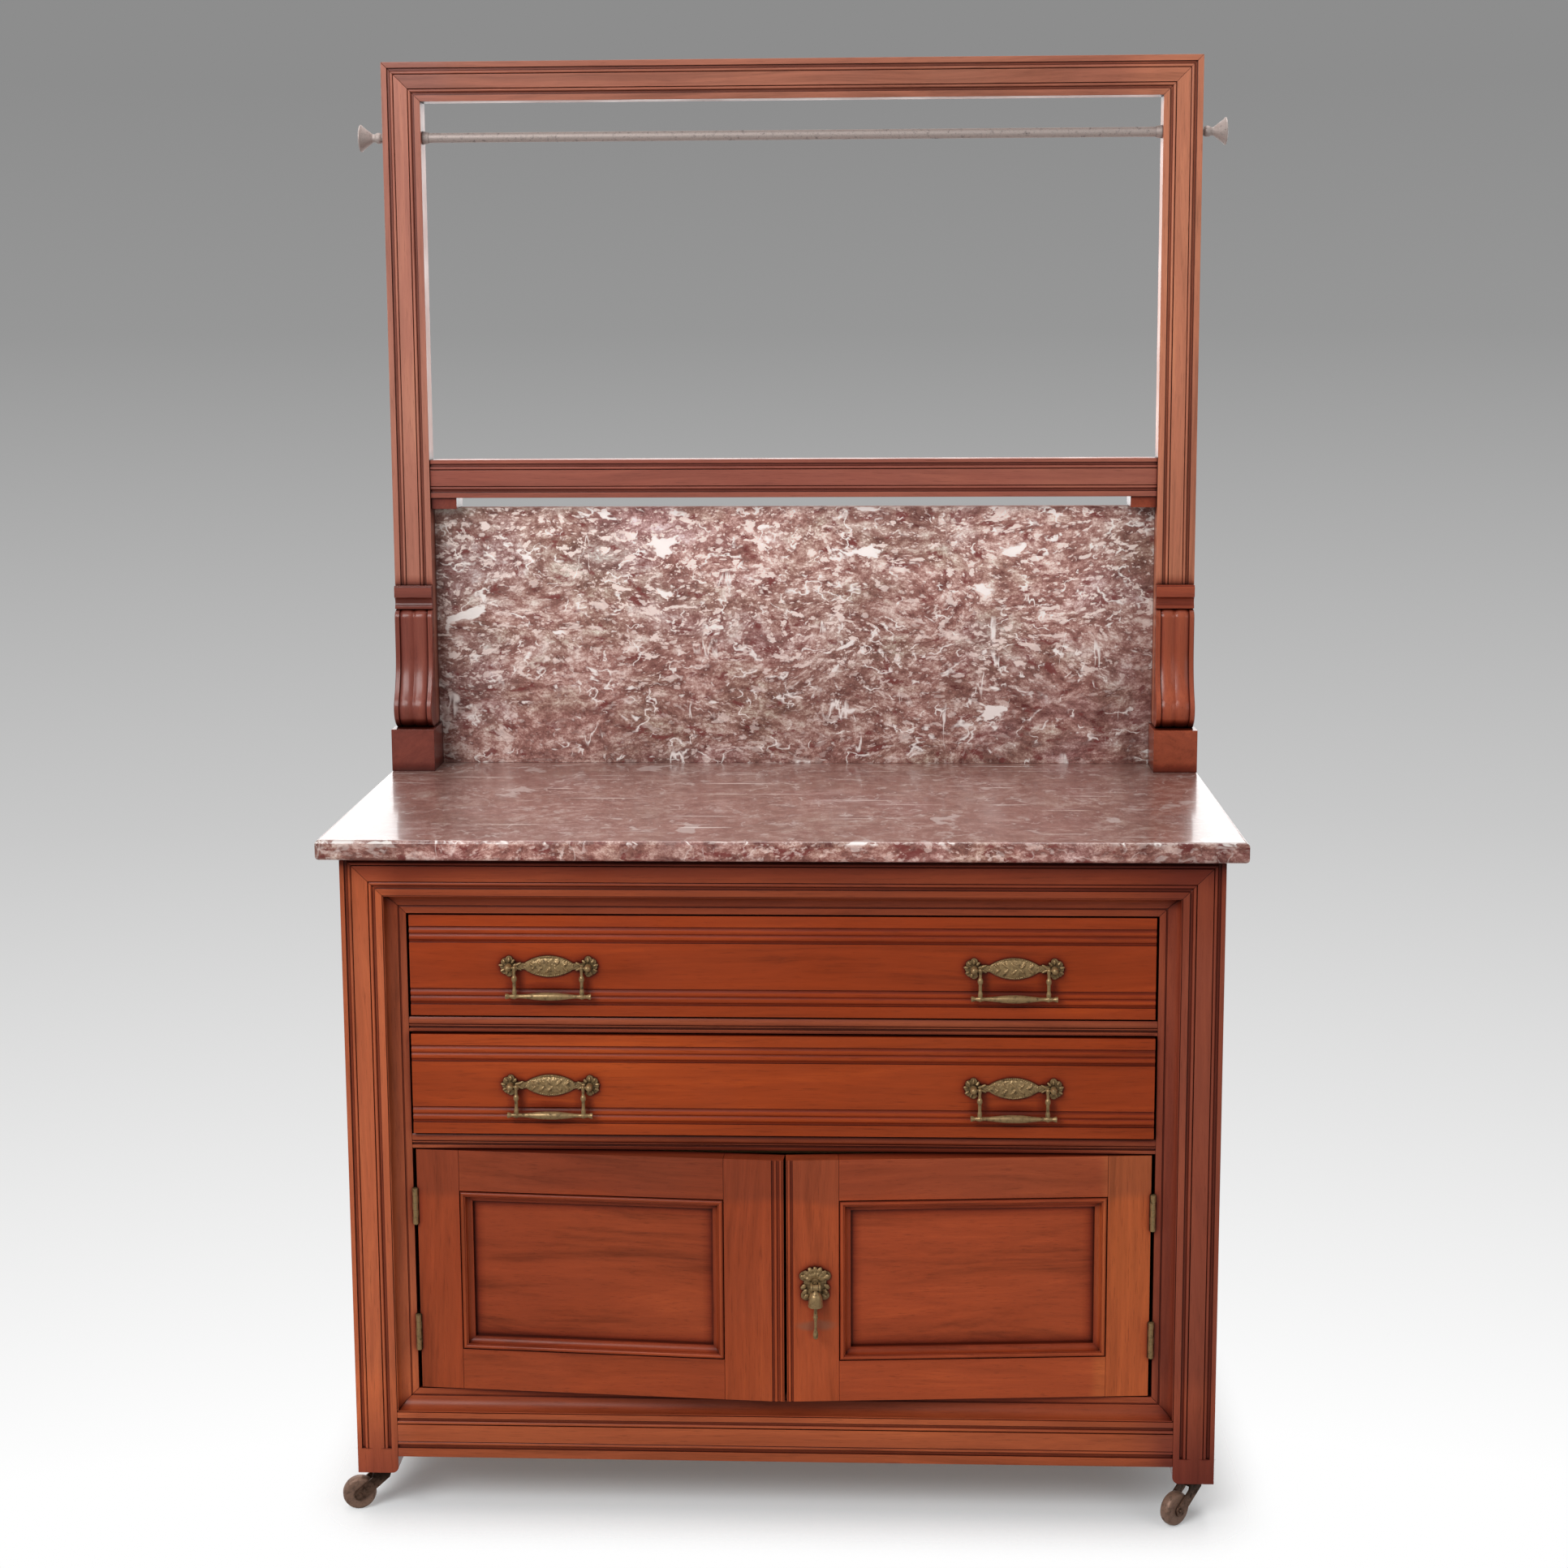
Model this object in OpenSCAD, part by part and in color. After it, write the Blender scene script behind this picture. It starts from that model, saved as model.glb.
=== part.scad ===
// Washstand with a marble top, two long drawers, a two-door cupboard and a towel gallery.
// Front is -Y, up is +Z, and the wheels stand on Z = 0. Depths inside at_face() count back
// from the front face of the legs.

/* [Marble] */
// Width of the marble top
top_w = 1067; // [1000:1:1200]
// Depth of the marble top
top_d = 508; // [470:1:560]
// Thickness of the marble top
top_t = 24; // [16:1:32]
// How far the top stands over the front of the case
top_overhang = 22; // [8:1:40]
// How far the top stands over each side of the case
side_overhang = 22.5; // [8:0.5:40]
// Rounding of the top's front and side edges
top_arris = 5; // [2:0.5:7]
// Height of the marble splashback above the top
splash_h = 345; // [250:1:450]
// Thickness of the marble splashback
splash_t = 20; // [14:1:26]
// How far the splashback reaches behind each upright
splash_lap = 25; // [10:1:34]

/* [Case] */
// Height of the case, floor to the underside of the marble
case_h = 809; // [780:1:900]
// Width of a leg
leg_w = 49; // [40:1:60]
// Depth of a leg from front to back
leg_d = 45; // [38:1:60]
// How much lower the front top rail is than a leg is wide
top_trim = 3; // [0:0.5:4]
// Thickness of the moulded facing on the legs and front rails
face_t = 22; // [16:1:30]
// Height of the front bottom rail
bottom_rail_h = 56; // [40:1:70]
// Height of the legs' lower ends above the floor
leg_end_z = 52; // [48:1:60]
// Distance from the legs' lower ends up to the bottom rail
leg_drop = 21; // [10:1:40]
// Height above the legs' ends at which the leg reeding stops
reed_stop = 31; // [10:1:60]
// Rounding of the legs' inner lower corners
toe_r = 8; // [2:1:14]

/* [Opening moulding] */
// Width of the hollow around the front opening
cove_w = 15.5; // [8:0.5:20]
// Width of the flat strip inside the hollow
strip_w = 9; // [5:0.5:12]
// How far the drawers and doors lie behind the leg faces
recess = 15; // [10:1:20]
// Thickness of the moulding behind its strip
ring_t = 21; // [12:1:30]

/* [Sides and back] */
// Thickness of the side rails
side_rail_t = 22; // [14:1:26]
// How far the side rails lie in from the legs' outer faces
side_set = 4; // [1:1:8]
// Height of the upper side and back rails
upper_rail_h = 79; // [72:1:100]
// Thickness of the side panels
side_panel_t = 8; // [5:1:12]
// How far the side panels lie in from the rails' outer faces
side_panel_set = 8; // [3:1:12]
// Thickness of the back boards
back_t = 10; // [6:1:14]
// Width of a bearer under the marble top
bearer_w = 60; // [40:1:90]
// Thickness of a bearer under the marble top
bearer_t = 22; // [14:1:30]
// Distance of the inner pieces behind the front legs
leg_clear = 3; // [1:0.5:8]
// Number of back boards
back_count = 6; // [3:1:9]
// Thickness of the cupboard floor
floor_t = 20; // [12:1:22]
// Thickness of the board over the cupboard
dust_t = 7; // [4:1:12]

/* [Drawers] */
// Height of each drawer opening
drawer_open_h = 125; // [118:0.5:128]
// Thickness of the rails below the drawers
rail_t = 17.5; // [14:0.5:22]
// Depth of the rails below the drawers
rail_d = 60; // [50:1:90]
// Gap above and below a drawer front
drawer_gap = 2; // [1:0.5:3]
// Gap at each end of a drawer front
drawer_side_gap = 2.7; // [2.5:0.1:5]
// Thickness of a drawer front
front_t = 20; // [16:1:24]
// Thickness of the drawer sides and back
box_t = 10; // [8:1:14]
// Height of the drawer sides
box_h = 114; // [70:1:116]
// Gap between the upper drawer's box and the back boards
box_back_gap = 40; // [10:1:100]
// Thickness of a drawer bottom
box_bottom_t = 6; // [4:1:9]
// How far the lower drawer stands proud at rest
lower_out = 4; // [0:1:20]
// Width of the plain strips along a drawer front
front_strip = 13.5; // [8:0.5:18]
// Width of each pair of reeds along a drawer front
front_reeds = 19.5; // [17:0.5:24]

/* [Doors] */
// Gap above and below the doors
door_gap = 1.5; // [1:0.5:3]
// Gap between the opening and a door's hinge edge
hinge_gap = 4; // [3:0.1:5]
// Thickness of the doors
door_t = 20; // [16:1:24]
// Angle at which both doors stand ajar at rest
ajar = 3.7; // [0:0.1:20]
// Place of the meeting line to the right of the middle
meeting_x = 4.5; // [-8:0.5:8]
// Gap between the two doors
meeting_gap = 1.5; // [1:0.1:3]
// Width of the hinge stiles
hinge_stile = 51; // [40:1:70]
// Distance of each door panel's moulding from the middle of the case
panel_inner_x = 67; // [60:1:100]
// Height of the door rails
door_rail_h = 50; // [40:1:70]
// Width of the moulding around a door panel
bolection_w = 14; // [10:1:20]
// Radius of the bead along that moulding's outer edge
bolection_bead = 2.5; // [2:0.1:3]
// Thickness of a door panel
door_panel_t = 6; // [4:1:7]
// Depth from the door's face to its panel
door_panel_sink = 12; // [9:1:13]

/* [Hinges] */
// Length of a butt hinge
butt_len = 44; // [30:1:60]
// Distance from a door's end to its hinge
butt_inset = 48; // [20:1:80]
// Radius of the hinge knuckles
knuckle_r = 3; // [2.8:0.1:3.5]
// How far the hinge axis lies in front of the doors
knuckle_out = 1.5; // [0.5:0.1:2.5]
// Radius of the hinge pins
hinge_pin_r = 1.6; // [1.2:0.1:1.8]
// Thickness of the hinge leaves
leaf_t = 1.4; // [1:0.1:1.8]
// Depth of the hinge leaves
leaf_d = 17; // [10:1:19]

/* [Drawer handles] */
// Distance from a drawer front's end to the middle of its handle
handle_in = 163.8; // [120:0.1:240]
// Half the distance between the bosses of a handle
boss_x = 46.5; // [40:0.5:60]
// Half the distance between the arms of a bail
arm_x = 39.5; // [30:0.5:39.5]
// Drop of the bail below its pivot
bail_drop = 34; // [28:1:44]
// Distance of the bail pivot in front of the drawer face
bail_stand = 10; // [8:0.5:14]
// Thickness of the handle plates
plate_t = 2; // [1:0.5:3]

/* [Door pull] */
// Distance of the drop pull from the door's meeting edge
pull_inset = 33.5; // [25:0.5:40]
// Height of the drop pull above the lower edge of the door
pull_z = 146.5; // [100:0.5:200]
// Distance of the pull's pivot in front of the door face
pull_stand = 13; // [11.5:0.5:16]
// Length of the pendant below its pivot
pendant_len = 64; // [45:1:80]

/* [Gallery] */
// How far the gallery's uprights stand in from the ends of the marble top
gallery_in = 6; // [2:0.5:20]
// Height of the gallery above the marble top
gallery_h = 922; // [700:1:1100]
// Width of the uprights and height of the gallery rails
stile_w = 50; // [44:1:60]
// Thickness of the uprights and the gallery rails
stile_t = 30; // [22:1:36]
// Height of the middle rail's lower edge above the marble top
mid_rail_z = 360; // [355:1:500]
// Height of the plinth blocks
plinth_h = 56; // [40:1:80]
// Extra width of a plinth block over its upright
plinth_extra = 7; // [0:0.5:10]
// How far the plinth blocks stand in front of the uprights
plinth_reach = 34; // [33:1:40]
// Height of the scrolled brackets
bracket_h = 157; // [140:1:200]
// Radius of a bracket's round belly
belly_r = 26; // [23:0.5:28]
// How far a bracket's belly reaches in front of its upright
belly_reach = 31; // [29:0.5:33]
// Height of the belly's middle above the plinth
belly_z = 25; // [22:0.5:28]
// How far a bracket's neck reaches in front of its upright
neck_reach = 9; // [7:0.5:14]
// Height of the straight neck and shoulder of a bracket
neck_h = 56; // [40:1:70]
// How deep the brackets and collars are let into the uprights
bracket_back = 3; // [2:0.5:6]
// Width of the plain margins beside a bracket's reeds
reed_margin = 7; // [5:0.5:10]
// How far a bracket's reeds are crowned
reed_rise = 0.9; // [0.5:0.1:1.5]
// Height of the collar above a bracket
collar_h = 31.5; // [20:0.5:40]
// Width of a block that holds the splashback
block_w = 34; // [20:1:60]
// Width of the stays behind the gallery
stay_w = 44; // [30:1:50]
// How far the stays lie in from the outer faces of the uprights
stay_in = 1.5; // [0:0.5:6]
// Thickness of the stays behind the gallery
stay_t = 20; // [14:1:26]
// Length of the stays below the marble top
stay_down = 270; // [150:1:400]
// Length of the stays above the splashback
stay_up = 62; // [30:1:80]

/* [Towel rod] */
// Radius of the brass towel rod
rod_r = 6.35; // [5:0.05:9]
// Distance of the rod below the top of the gallery
rod_drop = 95; // [70:1:200]
// Radius of the discs at the rod's ends
finial_r = 17.5; // [10:0.5:22]
// Length of a finial
finial_len = 33; // [26:1:40]

/* [Casters] */
// Radius of the wheels
wheel_r = 20; // [16:0.5:20.5]
// Width of the wheels
wheel_w = 15; // [10:0.5:18]
// Distance of the wheel's axle from the swivel axis
trail = 28; // [24:0.5:32]
// Radius of the plate under a leg
socket_r = 18; // [14:0.5:20]

/* [Fits] */
// Radial clearance of a pin in its hole
pin_fit = 0.05; // [0.02:0.01:0.1]
// Joint line between two pieces of one frame
joint_gap = 0.1; // [0.05:0.05:0.4]
// Running clearance of a drawer on its runners
run_fit = 0.3; // [0.2:0.1:1]
// Space between a moving piece and what it passes
pass_fit = 0.4; // [0.3:0.1:0.8]

/* [Hidden] */
$fn = 64;
eps = 0.01;

wood = [0.55, 0.25, 0.15];
wood_light = [0.62, 0.33, 0.22];
pine = [0.72, 0.55, 0.36];
marble = [0.52, 0.36, 0.34];
brass = [0.55, 0.45, 0.28];
iron = [0.30, 0.25, 0.21];

case_back = top_d - top_overhang;
case_w = top_w - 2*side_overhang;
gallery_w = top_w - 2*gallery_in;
half_w = case_w/2;
leg_in = half_w - leg_w;
ring_w = cove_w + strip_w;
open_x = leg_in - ring_w;
ring_back = recess + ring_t;
bottom_z = leg_end_z + leg_drop;
ring_bottom = bottom_z + bottom_rail_h;
ring_top = case_h + top_trim - leg_w;
open_bottom = ring_bottom + ring_w;
open_top = ring_top - ring_w;
top_z = case_h + top_t;

rail_upper_z = open_top - drawer_open_h - rail_t;
rail_lower_z = rail_upper_z - drawer_open_h - rail_t;
front_h = drawer_open_h - 2*drawer_gap;
front_w = 2*(open_x - drawer_side_gap);
handle_x = front_w/2 - handle_in;
boards_y = case_back - face_t + 6;
box_len = boards_y - box_back_gap - recess - front_t;
side_in = half_w - side_set - side_rail_t;
back_in = case_back - leg_d;
runner_in = front_w/2 - 2*box_t;

door_x = open_x - hinge_gap;
hinge_x = open_x - hinge_gap/2;
hinge_y = recess - knuckle_out;
door_z = open_bottom + door_gap;
door_h = rail_lower_z - open_bottom - 2*door_gap;
door_left_w = door_x + meeting_x - meeting_gap/2;
door_right_w = door_x - meeting_x - meeting_gap/2;
panel_w = door_x - hinge_stile - panel_inner_x;

gallery_x = gallery_w/2 - stile_w;
splash_y = case_back - splash_t;
stile_y = splash_y - stile_t;
gallery_top = top_z + gallery_h;
gallery_low = top_z + plinth_h;
mid_z = top_z + mid_rail_z;
rod_z = gallery_top - rod_drop;
belly_s = belly_reach - belly_r;
hollow_z = bracket_h - neck_h;
neck_top = bracket_h - neck_reach - bracket_back;
hollow_r = (pow(neck_reach - belly_s, 2) + pow(hollow_z - belly_z, 2) - pow(belly_r, 2))
    /(2*(belly_reach - neck_reach));
belly_end = belly_z + belly_r*sin(atan2(hollow_z - belly_z, neck_reach + hollow_r - belly_s));
rod_y = stile_y + stile_t/2;
leg_x = half_w - leg_w/2;

// The drop pull reaches furthest forward and the stays furthest back.
pull_tip = (door_right_w - pull_inset)*sin(ajar) + pull_stand + 5 - recess;
face_y = -(case_back + stay_t - pull_tip)/2;

// Moves what is drawn from the leg faces back into the part's own frame.
module at_face() {
    translate([0, face_y, 0]) children();
}

// Draws the same thing on the left and, mirrored, on the right.
module both_sides() {
    children();
    mirror([1, 0, 0]) children();
}

// A box between two corners.
module box(a, b) {
    translate(a) cube(b - a);
}

// ---- Moulded sections: x runs across the face, y runs back from it ----

// A groove and a bead cut into a face that starts at x = 0 and runs towards +x.
module quirk_and_bead() {
    difference() {
        translate([0, -1]) square([8.4, 3.3]);
        translate([5.9, 2.5]) circle(r = 2.5);
    }
}

// A board of width w and thickness t with a groove and bead along each edge.
module reeded_section(w, t, margin_a, margin_b) {
    difference() {
        square([w, t]);
        translate([margin_a, 0]) quirk_and_bead();
        translate([w - margin_b, 0]) mirror([1, 0]) quirk_and_bead();
    }
}

// The hollow and strip that line the front opening.
module ring_section() {
    difference() {
        translate([0, 1]) square([ring_w, ring_back - 1]);
        translate([cove_w, 1]) circle(r = recess - 1);
        translate([cove_w, 0]) square([ring_w, recess]);
        translate([cove_w - 0.6, recess - 2]) square([1.8, 3.2]);
    }
}

// Two broad reeds side by side in a shallow pocket.
module reed_pair() {
    difference() {
        translate([0, -1]) square([front_reeds, 2.8]);
        for (i = [0, 1])
            translate([front_reeds/2 + (i - 0.5)*(front_reeds - 5)*0.52, 5.1]) circle(r = 5);
    }
}

module drawer_front_section() {
    difference() {
        square([front_h, front_t]);
        translate([front_strip, 0]) reed_pair();
        translate([front_h - front_strip - front_reeds, 0]) reed_pair();
    }
}

// Front edge of a drawer rail: a broad bead above a narrow one.
module drawer_rail_section() {
    difference() {
        square([rail_t, rail_d]);
        translate([rail_t*0.56, -1]) square([rail_t*0.2, 3]);
        translate([-eps, -eps]) difference() {
            square([rail_t*0.56, 1.4]);
            translate([rail_t*0.28, 9]) circle(r = 9);
        }
    }
}

// The moulding around a door panel: a proud bead, then a hollow slope down to the panel.
module bolection_section() {
    difference() {
        union() {
            translate([1, 0]) square([bolection_w - 1, door_panel_sink]);
            translate([bolection_bead + 1.1, 0.9]) circle(r = bolection_bead);
        }
        translate([bolection_w, 0]) circle(r = bolection_w/2);
        translate([-1, 0]) square([2, 1.6]);
    }
}

// Runs a section along +X, with its width going down from z = 0.
module along_x(len) {
    rotate([0, 90, 0]) linear_extrude(len) children();
}

// Keeps the outer triangle side of a mitred frame: n = 0 left, 1 top, 2 right, 3 bottom.
module mitre_wedge(w, h, n) {
    c = min(w, h)/2 - joint_gap;
    g = joint_gap/2;
    outline = n == 0 ? [[-w/2 - 1, g - 1], [-w/2 + c, c + g], [-w/2 + c, h - c - g], [-w/2 - 1, h - g + 1]]
        : n == 1 ? [[-w/2 + g - 1, h + 1], [-w/2 + c + g, h - c], [w/2 - c - g, h - c], [w/2 - g + 1, h + 1]]
        : n == 2 ? [[w/2 + 1, g - 1], [w/2 - c, c + g], [w/2 - c, h - c - g], [w/2 + 1, h - g + 1]]
        : [[-w/2 + g - 1, -1], [-w/2 + c + g, c], [w/2 - c - g, c], [w/2 - g + 1, -1]];
    rotate([90, 0, 0]) linear_extrude(2*top_d, center = true) polygon(outline);
}

// Four mitred pieces around a w by h opening edge; children draw the section from the outside in.
module mitred_frame(w, h) {
    intersection() {
        translate([-w/2, 0, 0]) linear_extrude(h) children();
        mitre_wedge(w, h, 0);
    }
    intersection() {
        translate([w/2, 0, 0]) mirror([1, 0, 0]) linear_extrude(h) children();
        mitre_wedge(w, h, 2);
    }
    intersection() {
        translate([-w/2, 0, h]) along_x(w) children();
        mitre_wedge(w, h, 1);
    }
    intersection() {
        translate([-w/2, 0, 0]) mirror([0, 0, 1]) along_x(w) children();
        mitre_wedge(w, h, 3);
    }
}

// ---- Case ----

// The triangle of a leg's facing that the mitred top rail takes.
module corner_mitre(outer, inner, z, t) {
    translate([0, t + eps, 0]) rotate([90, 0, 0]) linear_extrude(t + 1)
        polygon([[-outer, z], [-outer - 1, z + 1], [-inner + 1, z + 1],
                 [-inner + 1, z - (outer - inner) - 1], [-inner, z - (outer - inner)]]);
}

module leg_body() {
    difference() {
        union() {
            box([-half_w, 0, leg_end_z], [-leg_in, leg_d, leg_end_z + reed_stop]);
            translate([-half_w, 0, leg_end_z + reed_stop - eps])
                linear_extrude(case_h - leg_end_z - reed_stop + eps)
                    reeded_section(leg_w, leg_d, 5.5, 8);
        }
        corner_mitre(half_w, leg_in, case_h + top_trim, face_t);
        translate([-leg_in, -1, leg_end_z]) rotate([-90, 0, 0]) linear_extrude(leg_d + 2)
            difference() {
                translate([-toe_r, -toe_r]) square([toe_r + 1, toe_r + 1]);
                translate([-toe_r, -toe_r]) circle(r = toe_r);
            }
    }
}

module legs_front() {
    color(wood) at_face() both_sides() leg_body();
}

module legs_rear() {
    color(wood) at_face() both_sides()
        box([-half_w, back_in, leg_end_z], [-leg_in, case_back, case_h]);
}

module rail_front_top() {
    color(wood) at_face() difference() {
        union() {
            difference() {
                translate([-half_w, 0, case_h + top_trim]) along_x(case_w)
                    reeded_section(leg_w, face_t, 5.5, 8);
                translate([-half_w - 1, -1, case_h]) cube([case_w + 2, face_t + 2, leg_w]);
            }
            box([-leg_in, face_t - eps, ring_top], [leg_in, leg_d + leg_clear, case_h]);
        }
        both_sides() translate([0, face_t + eps, 0]) rotate([90, 0, 0]) linear_extrude(face_t + 1)
            polygon([[-half_w - 1, case_h + top_trim + 1], [-leg_in, ring_top],
                     [-leg_in, ring_top - 1], [-half_w - 1, ring_top - 1]]);
    }
}

module rail_front_bottom() {
    color(wood) at_face() translate([-leg_in, 0, ring_bottom])
        along_x(2*leg_in) reeded_section(bottom_rail_h, face_t + 8, 7, 11);
}

module opening_moulding() {
    color(wood) at_face() difference() {
        translate([0, 0, ring_bottom])
            mitred_frame(2*leg_in, ring_top - ring_bottom) ring_section();
        both_sides() at_butts() butt_room(-1);
    }
}

module side_rails() {
    color(wood) at_face() both_sides() {
        box([-side_in - side_rail_t, leg_d, case_h - upper_rail_h], [-side_in, back_in, case_h]);
        box([-side_in - side_rail_t, leg_d, bottom_z], [-side_in, back_in, open_bottom - 8]);
    }
}

module side_panels() {
    outer = side_in + side_rail_t - side_panel_set;
    color(wood) at_face() both_sides()
        box([-outer, leg_d, open_bottom - 8], [-outer + side_panel_t, back_in, case_h - upper_rail_h]);
}

module drawer_rail(z) {
    translate([-open_x, recess, z + rail_t]) along_x(2*open_x) drawer_rail_section();
    both_sides() box([-leg_in, ring_back, z], [-open_x + eps, recess + rail_d, z + rail_t]);
}

module drawer_rails() {
    color(wood) at_face() {
        drawer_rail(rail_upper_z);
        drawer_rail(rail_lower_z);
    }
}

// One runner with the guide that keeps the drawer straight.
module runner(z) {
    front = recess + rail_d;
    box([-side_in, front, z], [-runner_in, back_in, z + rail_t]);
    box([-side_in, front, z + rail_t - eps], [-open_x + 2, back_in, z + rail_t + 28]);
}

module drawer_runners() {
    kick_z = open_top - drawer_open_h + run_fit + box_h + 2;
    color(pine) at_face() both_sides() {
        runner(rail_upper_z);
        runner(rail_lower_z);
        box([-side_in, leg_d + leg_clear, kick_z], [-runner_in, back_in, kick_z + rail_t]);
    }
}

module cupboard_floor() {
    color(pine) at_face() difference() {
        box([-side_in, ring_back, open_bottom - floor_t], [side_in, case_back - face_t, open_bottom]);
        both_sides() {
            box([-half_w, 0, 0], [-leg_in, leg_d, case_h]);
            box([-half_w, back_in, 0], [-leg_in, case_back, case_h]);
        }
    }
}

module dust_board() {
    z = rail_lower_z + 3;
    color(pine) at_face()
        box([-runner_in, recess + rail_d, z], [runner_in, case_back - face_t, z + dust_t]);
}

module door_stops() {
    y = recess + door_t + 0.5;
    color(pine) at_face() {
        box([-open_x + 40, y, open_bottom], [open_x - 40, y + 12, open_bottom + 8]);
        box([-open_x + 40, y, rail_lower_z - 10], [open_x - 40, y + 12, rail_lower_z]);
    }
}

module rear_rails() {
    color(pine) at_face() {
        box([-leg_in, case_back - face_t, case_h - upper_rail_h], [leg_in, case_back, case_h]);
        box([-leg_in, case_back - face_t, bottom_z], [leg_in, case_back, open_bottom - 8]);
    }
}

module back_boards() {
    board = 2*leg_in/back_count;
    color(pine) at_face() for (i = [0:back_count - 1])
        translate([-leg_in + i*board, boards_y, 0])
            box([0, 0, open_bottom - 8], [board - 3*joint_gap, back_t, case_h - upper_rail_h]);
}

module top_bearers() {
    color(pine) at_face() both_sides()
        box([-half_w*0.45, leg_d + leg_clear, case_h - bearer_t],
            [-half_w*0.45 + bearer_w, case_back - face_t, case_h]);
}

// ---- Marble ----

// A slab section with its two long edges on one side rounded.
module slab_section(w, t, round_far) {
    difference() {
        square([w, t]);
        for (e = round_far ? [0, 1] : [0]) for (s = [0, 1])
            translate([e*w, s*t]) mirror([e, 0]) mirror([0, s]) difference() {
                translate([-1, -1]) square([top_arris + 1, top_arris + 1]);
                translate([top_arris, top_arris]) circle(r = top_arris);
            }
    }
}

module marble_top() {
    color(marble) at_face() translate([-top_w/2, -top_overhang, case_h]) intersection() {
        translate([0, top_d, 0]) rotate([90, 0, 0]) linear_extrude(top_d)
            slab_section(top_w, top_t, true);
        rotate([90, 0, 90]) linear_extrude(top_w) slab_section(top_d, top_t, false);
    }
}

module splashback() {
    w = 2*(gallery_x + splash_lap);
    color(marble) at_face() translate([-w/2, splash_y, top_z]) cube([w, splash_t, splash_h]);
}

// ---- Gallery ----

module upright() {
    difference() {
        translate([-gallery_w/2, stile_y, gallery_low]) linear_extrude(gallery_h - plinth_h)
            reeded_section(stile_w, stile_t, 7.5, 8);
        translate([0, stile_y - 1, 0])
            corner_mitre(gallery_w/2, gallery_x, gallery_top, stile_t + 2);
        translate([0, rod_y, rod_z]) rotate([0, -90, 0]) cylinder(r = rod_r + pin_fit, h = gallery_w);
        translate([-gallery_w/2, 0, gallery_low - 1])
            box([-1, stile_y - 1, 0], [stile_w + 1, stile_y + bracket_back, bracket_h + collar_h + 1]);
    }
}

module gallery_uprights() {
    color(wood_light) at_face() both_sides() upright();
}

module gallery_top_rail() {
    color(wood_light) at_face() difference() {
        translate([-gallery_w/2, stile_y, gallery_top]) along_x(gallery_w)
            reeded_section(stile_w, stile_t, 7.5, 8);
        both_sides() translate([0, stile_y + stile_t + 1, 0]) rotate([90, 0, 0])
            linear_extrude(stile_t + 2)
                polygon([[-gallery_w/2 - 1, gallery_top + 1], [-gallery_x, gallery_top - stile_w],
                         [-gallery_x, gallery_top - stile_w - 1],
                         [-gallery_w/2 - 1, gallery_top - stile_w - 1]]);
    }
}

module gallery_mid_rail() {
    color(wood_light) at_face() translate([-gallery_x, stile_y + 2, mid_z + stile_w])
        along_x(2*gallery_x) reeded_section(stile_w, stile_t - 2, 5, 7);
}

module splash_blocks() {
    z = top_z + splash_h + run_fit;
    color(wood) at_face() both_sides()
        box([-gallery_x, stile_y + 5, z], [-gallery_x + block_w, case_back, mid_z]);
}

// Outline of two crowned reeds between plain margins, across a face that lies at distance r.
function reed_outline(r) = let (pitch = stile_w/2 - reed_margin, deep = r - 2*reed_rise)
    concat([[r - 1, 0], [r, 1], [r, reed_margin - 1], [deep, reed_margin]],
        [for (i = [0, 1], k = [0:5]) let (c = k/2.5 - 1)
            [r - 1.6*reed_rise*pow(c, 4), reed_margin + 0.6 + i*pitch + k*(pitch - 1.2)/5]],
        [[deep, stile_w - reed_margin], [r, stile_w - reed_margin + 1], [r, stile_w - 1],
         [r - 1, stile_w]]);

// Turns an outline about a cross axis that lies s in front of the upright at height z.
module turned_about(s, z) {
    translate([0, -s, z]) rotate([0, 90, 0]) rotate_extrude($fn = 128) children();
}

// The space in front of the upright between two heights.
module bracket_zone(from_z, to_z) {
    translate([-1, -belly_reach - 1, from_z])
        cube([stile_w + 2, belly_reach + 1 + bracket_back, to_z - from_z]);
}

// Scrolled bracket: a round belly, a long hollow, a straight neck and a rounded shoulder run
// into each other down the front, and the reeds follow them all the way.
module bracket() {
    foot = [[0, stile_w], [0, 0]];
    intersection() {
        bracket_zone(0, belly_end);
        turned_about(belly_s, belly_z) polygon(concat(reed_outline(belly_r), foot));
    }
    difference() {
        translate([0, -belly_reach, belly_end])
            cube([stile_w, belly_reach + bracket_back, hollow_z - belly_end]);
        turned_about(neck_reach + hollow_r, hollow_z) polygon(concat([[0, -1], [hollow_r + 2, -1]],
            [for (p = reed_outline(0)) [hollow_r - p[0], p[1]]],
            [[hollow_r + 2, stile_w + 1], [0, stile_w + 1]]));
    }
    translate([0, 0, hollow_z]) linear_extrude(neck_top - hollow_z) polygon(concat(
        [for (p = reed_outline(neck_reach)) [p[1], -p[0]]], [[stile_w, bracket_back], [0, bracket_back]]));
    intersection() {
        bracket_zone(neck_top, bracket_h);
        turned_about(-bracket_back, neck_top)
            polygon(concat(reed_outline(neck_reach + bracket_back), foot));
    }
}

module scroll_brackets() {
    color(wood_light) at_face() both_sides()
        translate([-gallery_w/2, stile_y, gallery_low]) bracket();
}

module bracket_collars() {
    h = collar_h;
    color(wood_light) at_face() both_sides()
        translate([-gallery_w/2, stile_y, gallery_low + bracket_h]) rotate([90, 0, 90])
            linear_extrude(stile_w) difference() {
                translate([-8, 0]) square([8 + bracket_back, h]);
                translate([-9, h/2 - 7]) circle(r = 7);
                translate([-9, -1]) square([5, h/2 - 6]);
                translate([-9, h - 2]) square([2.5, 3]);
            }
}

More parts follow.
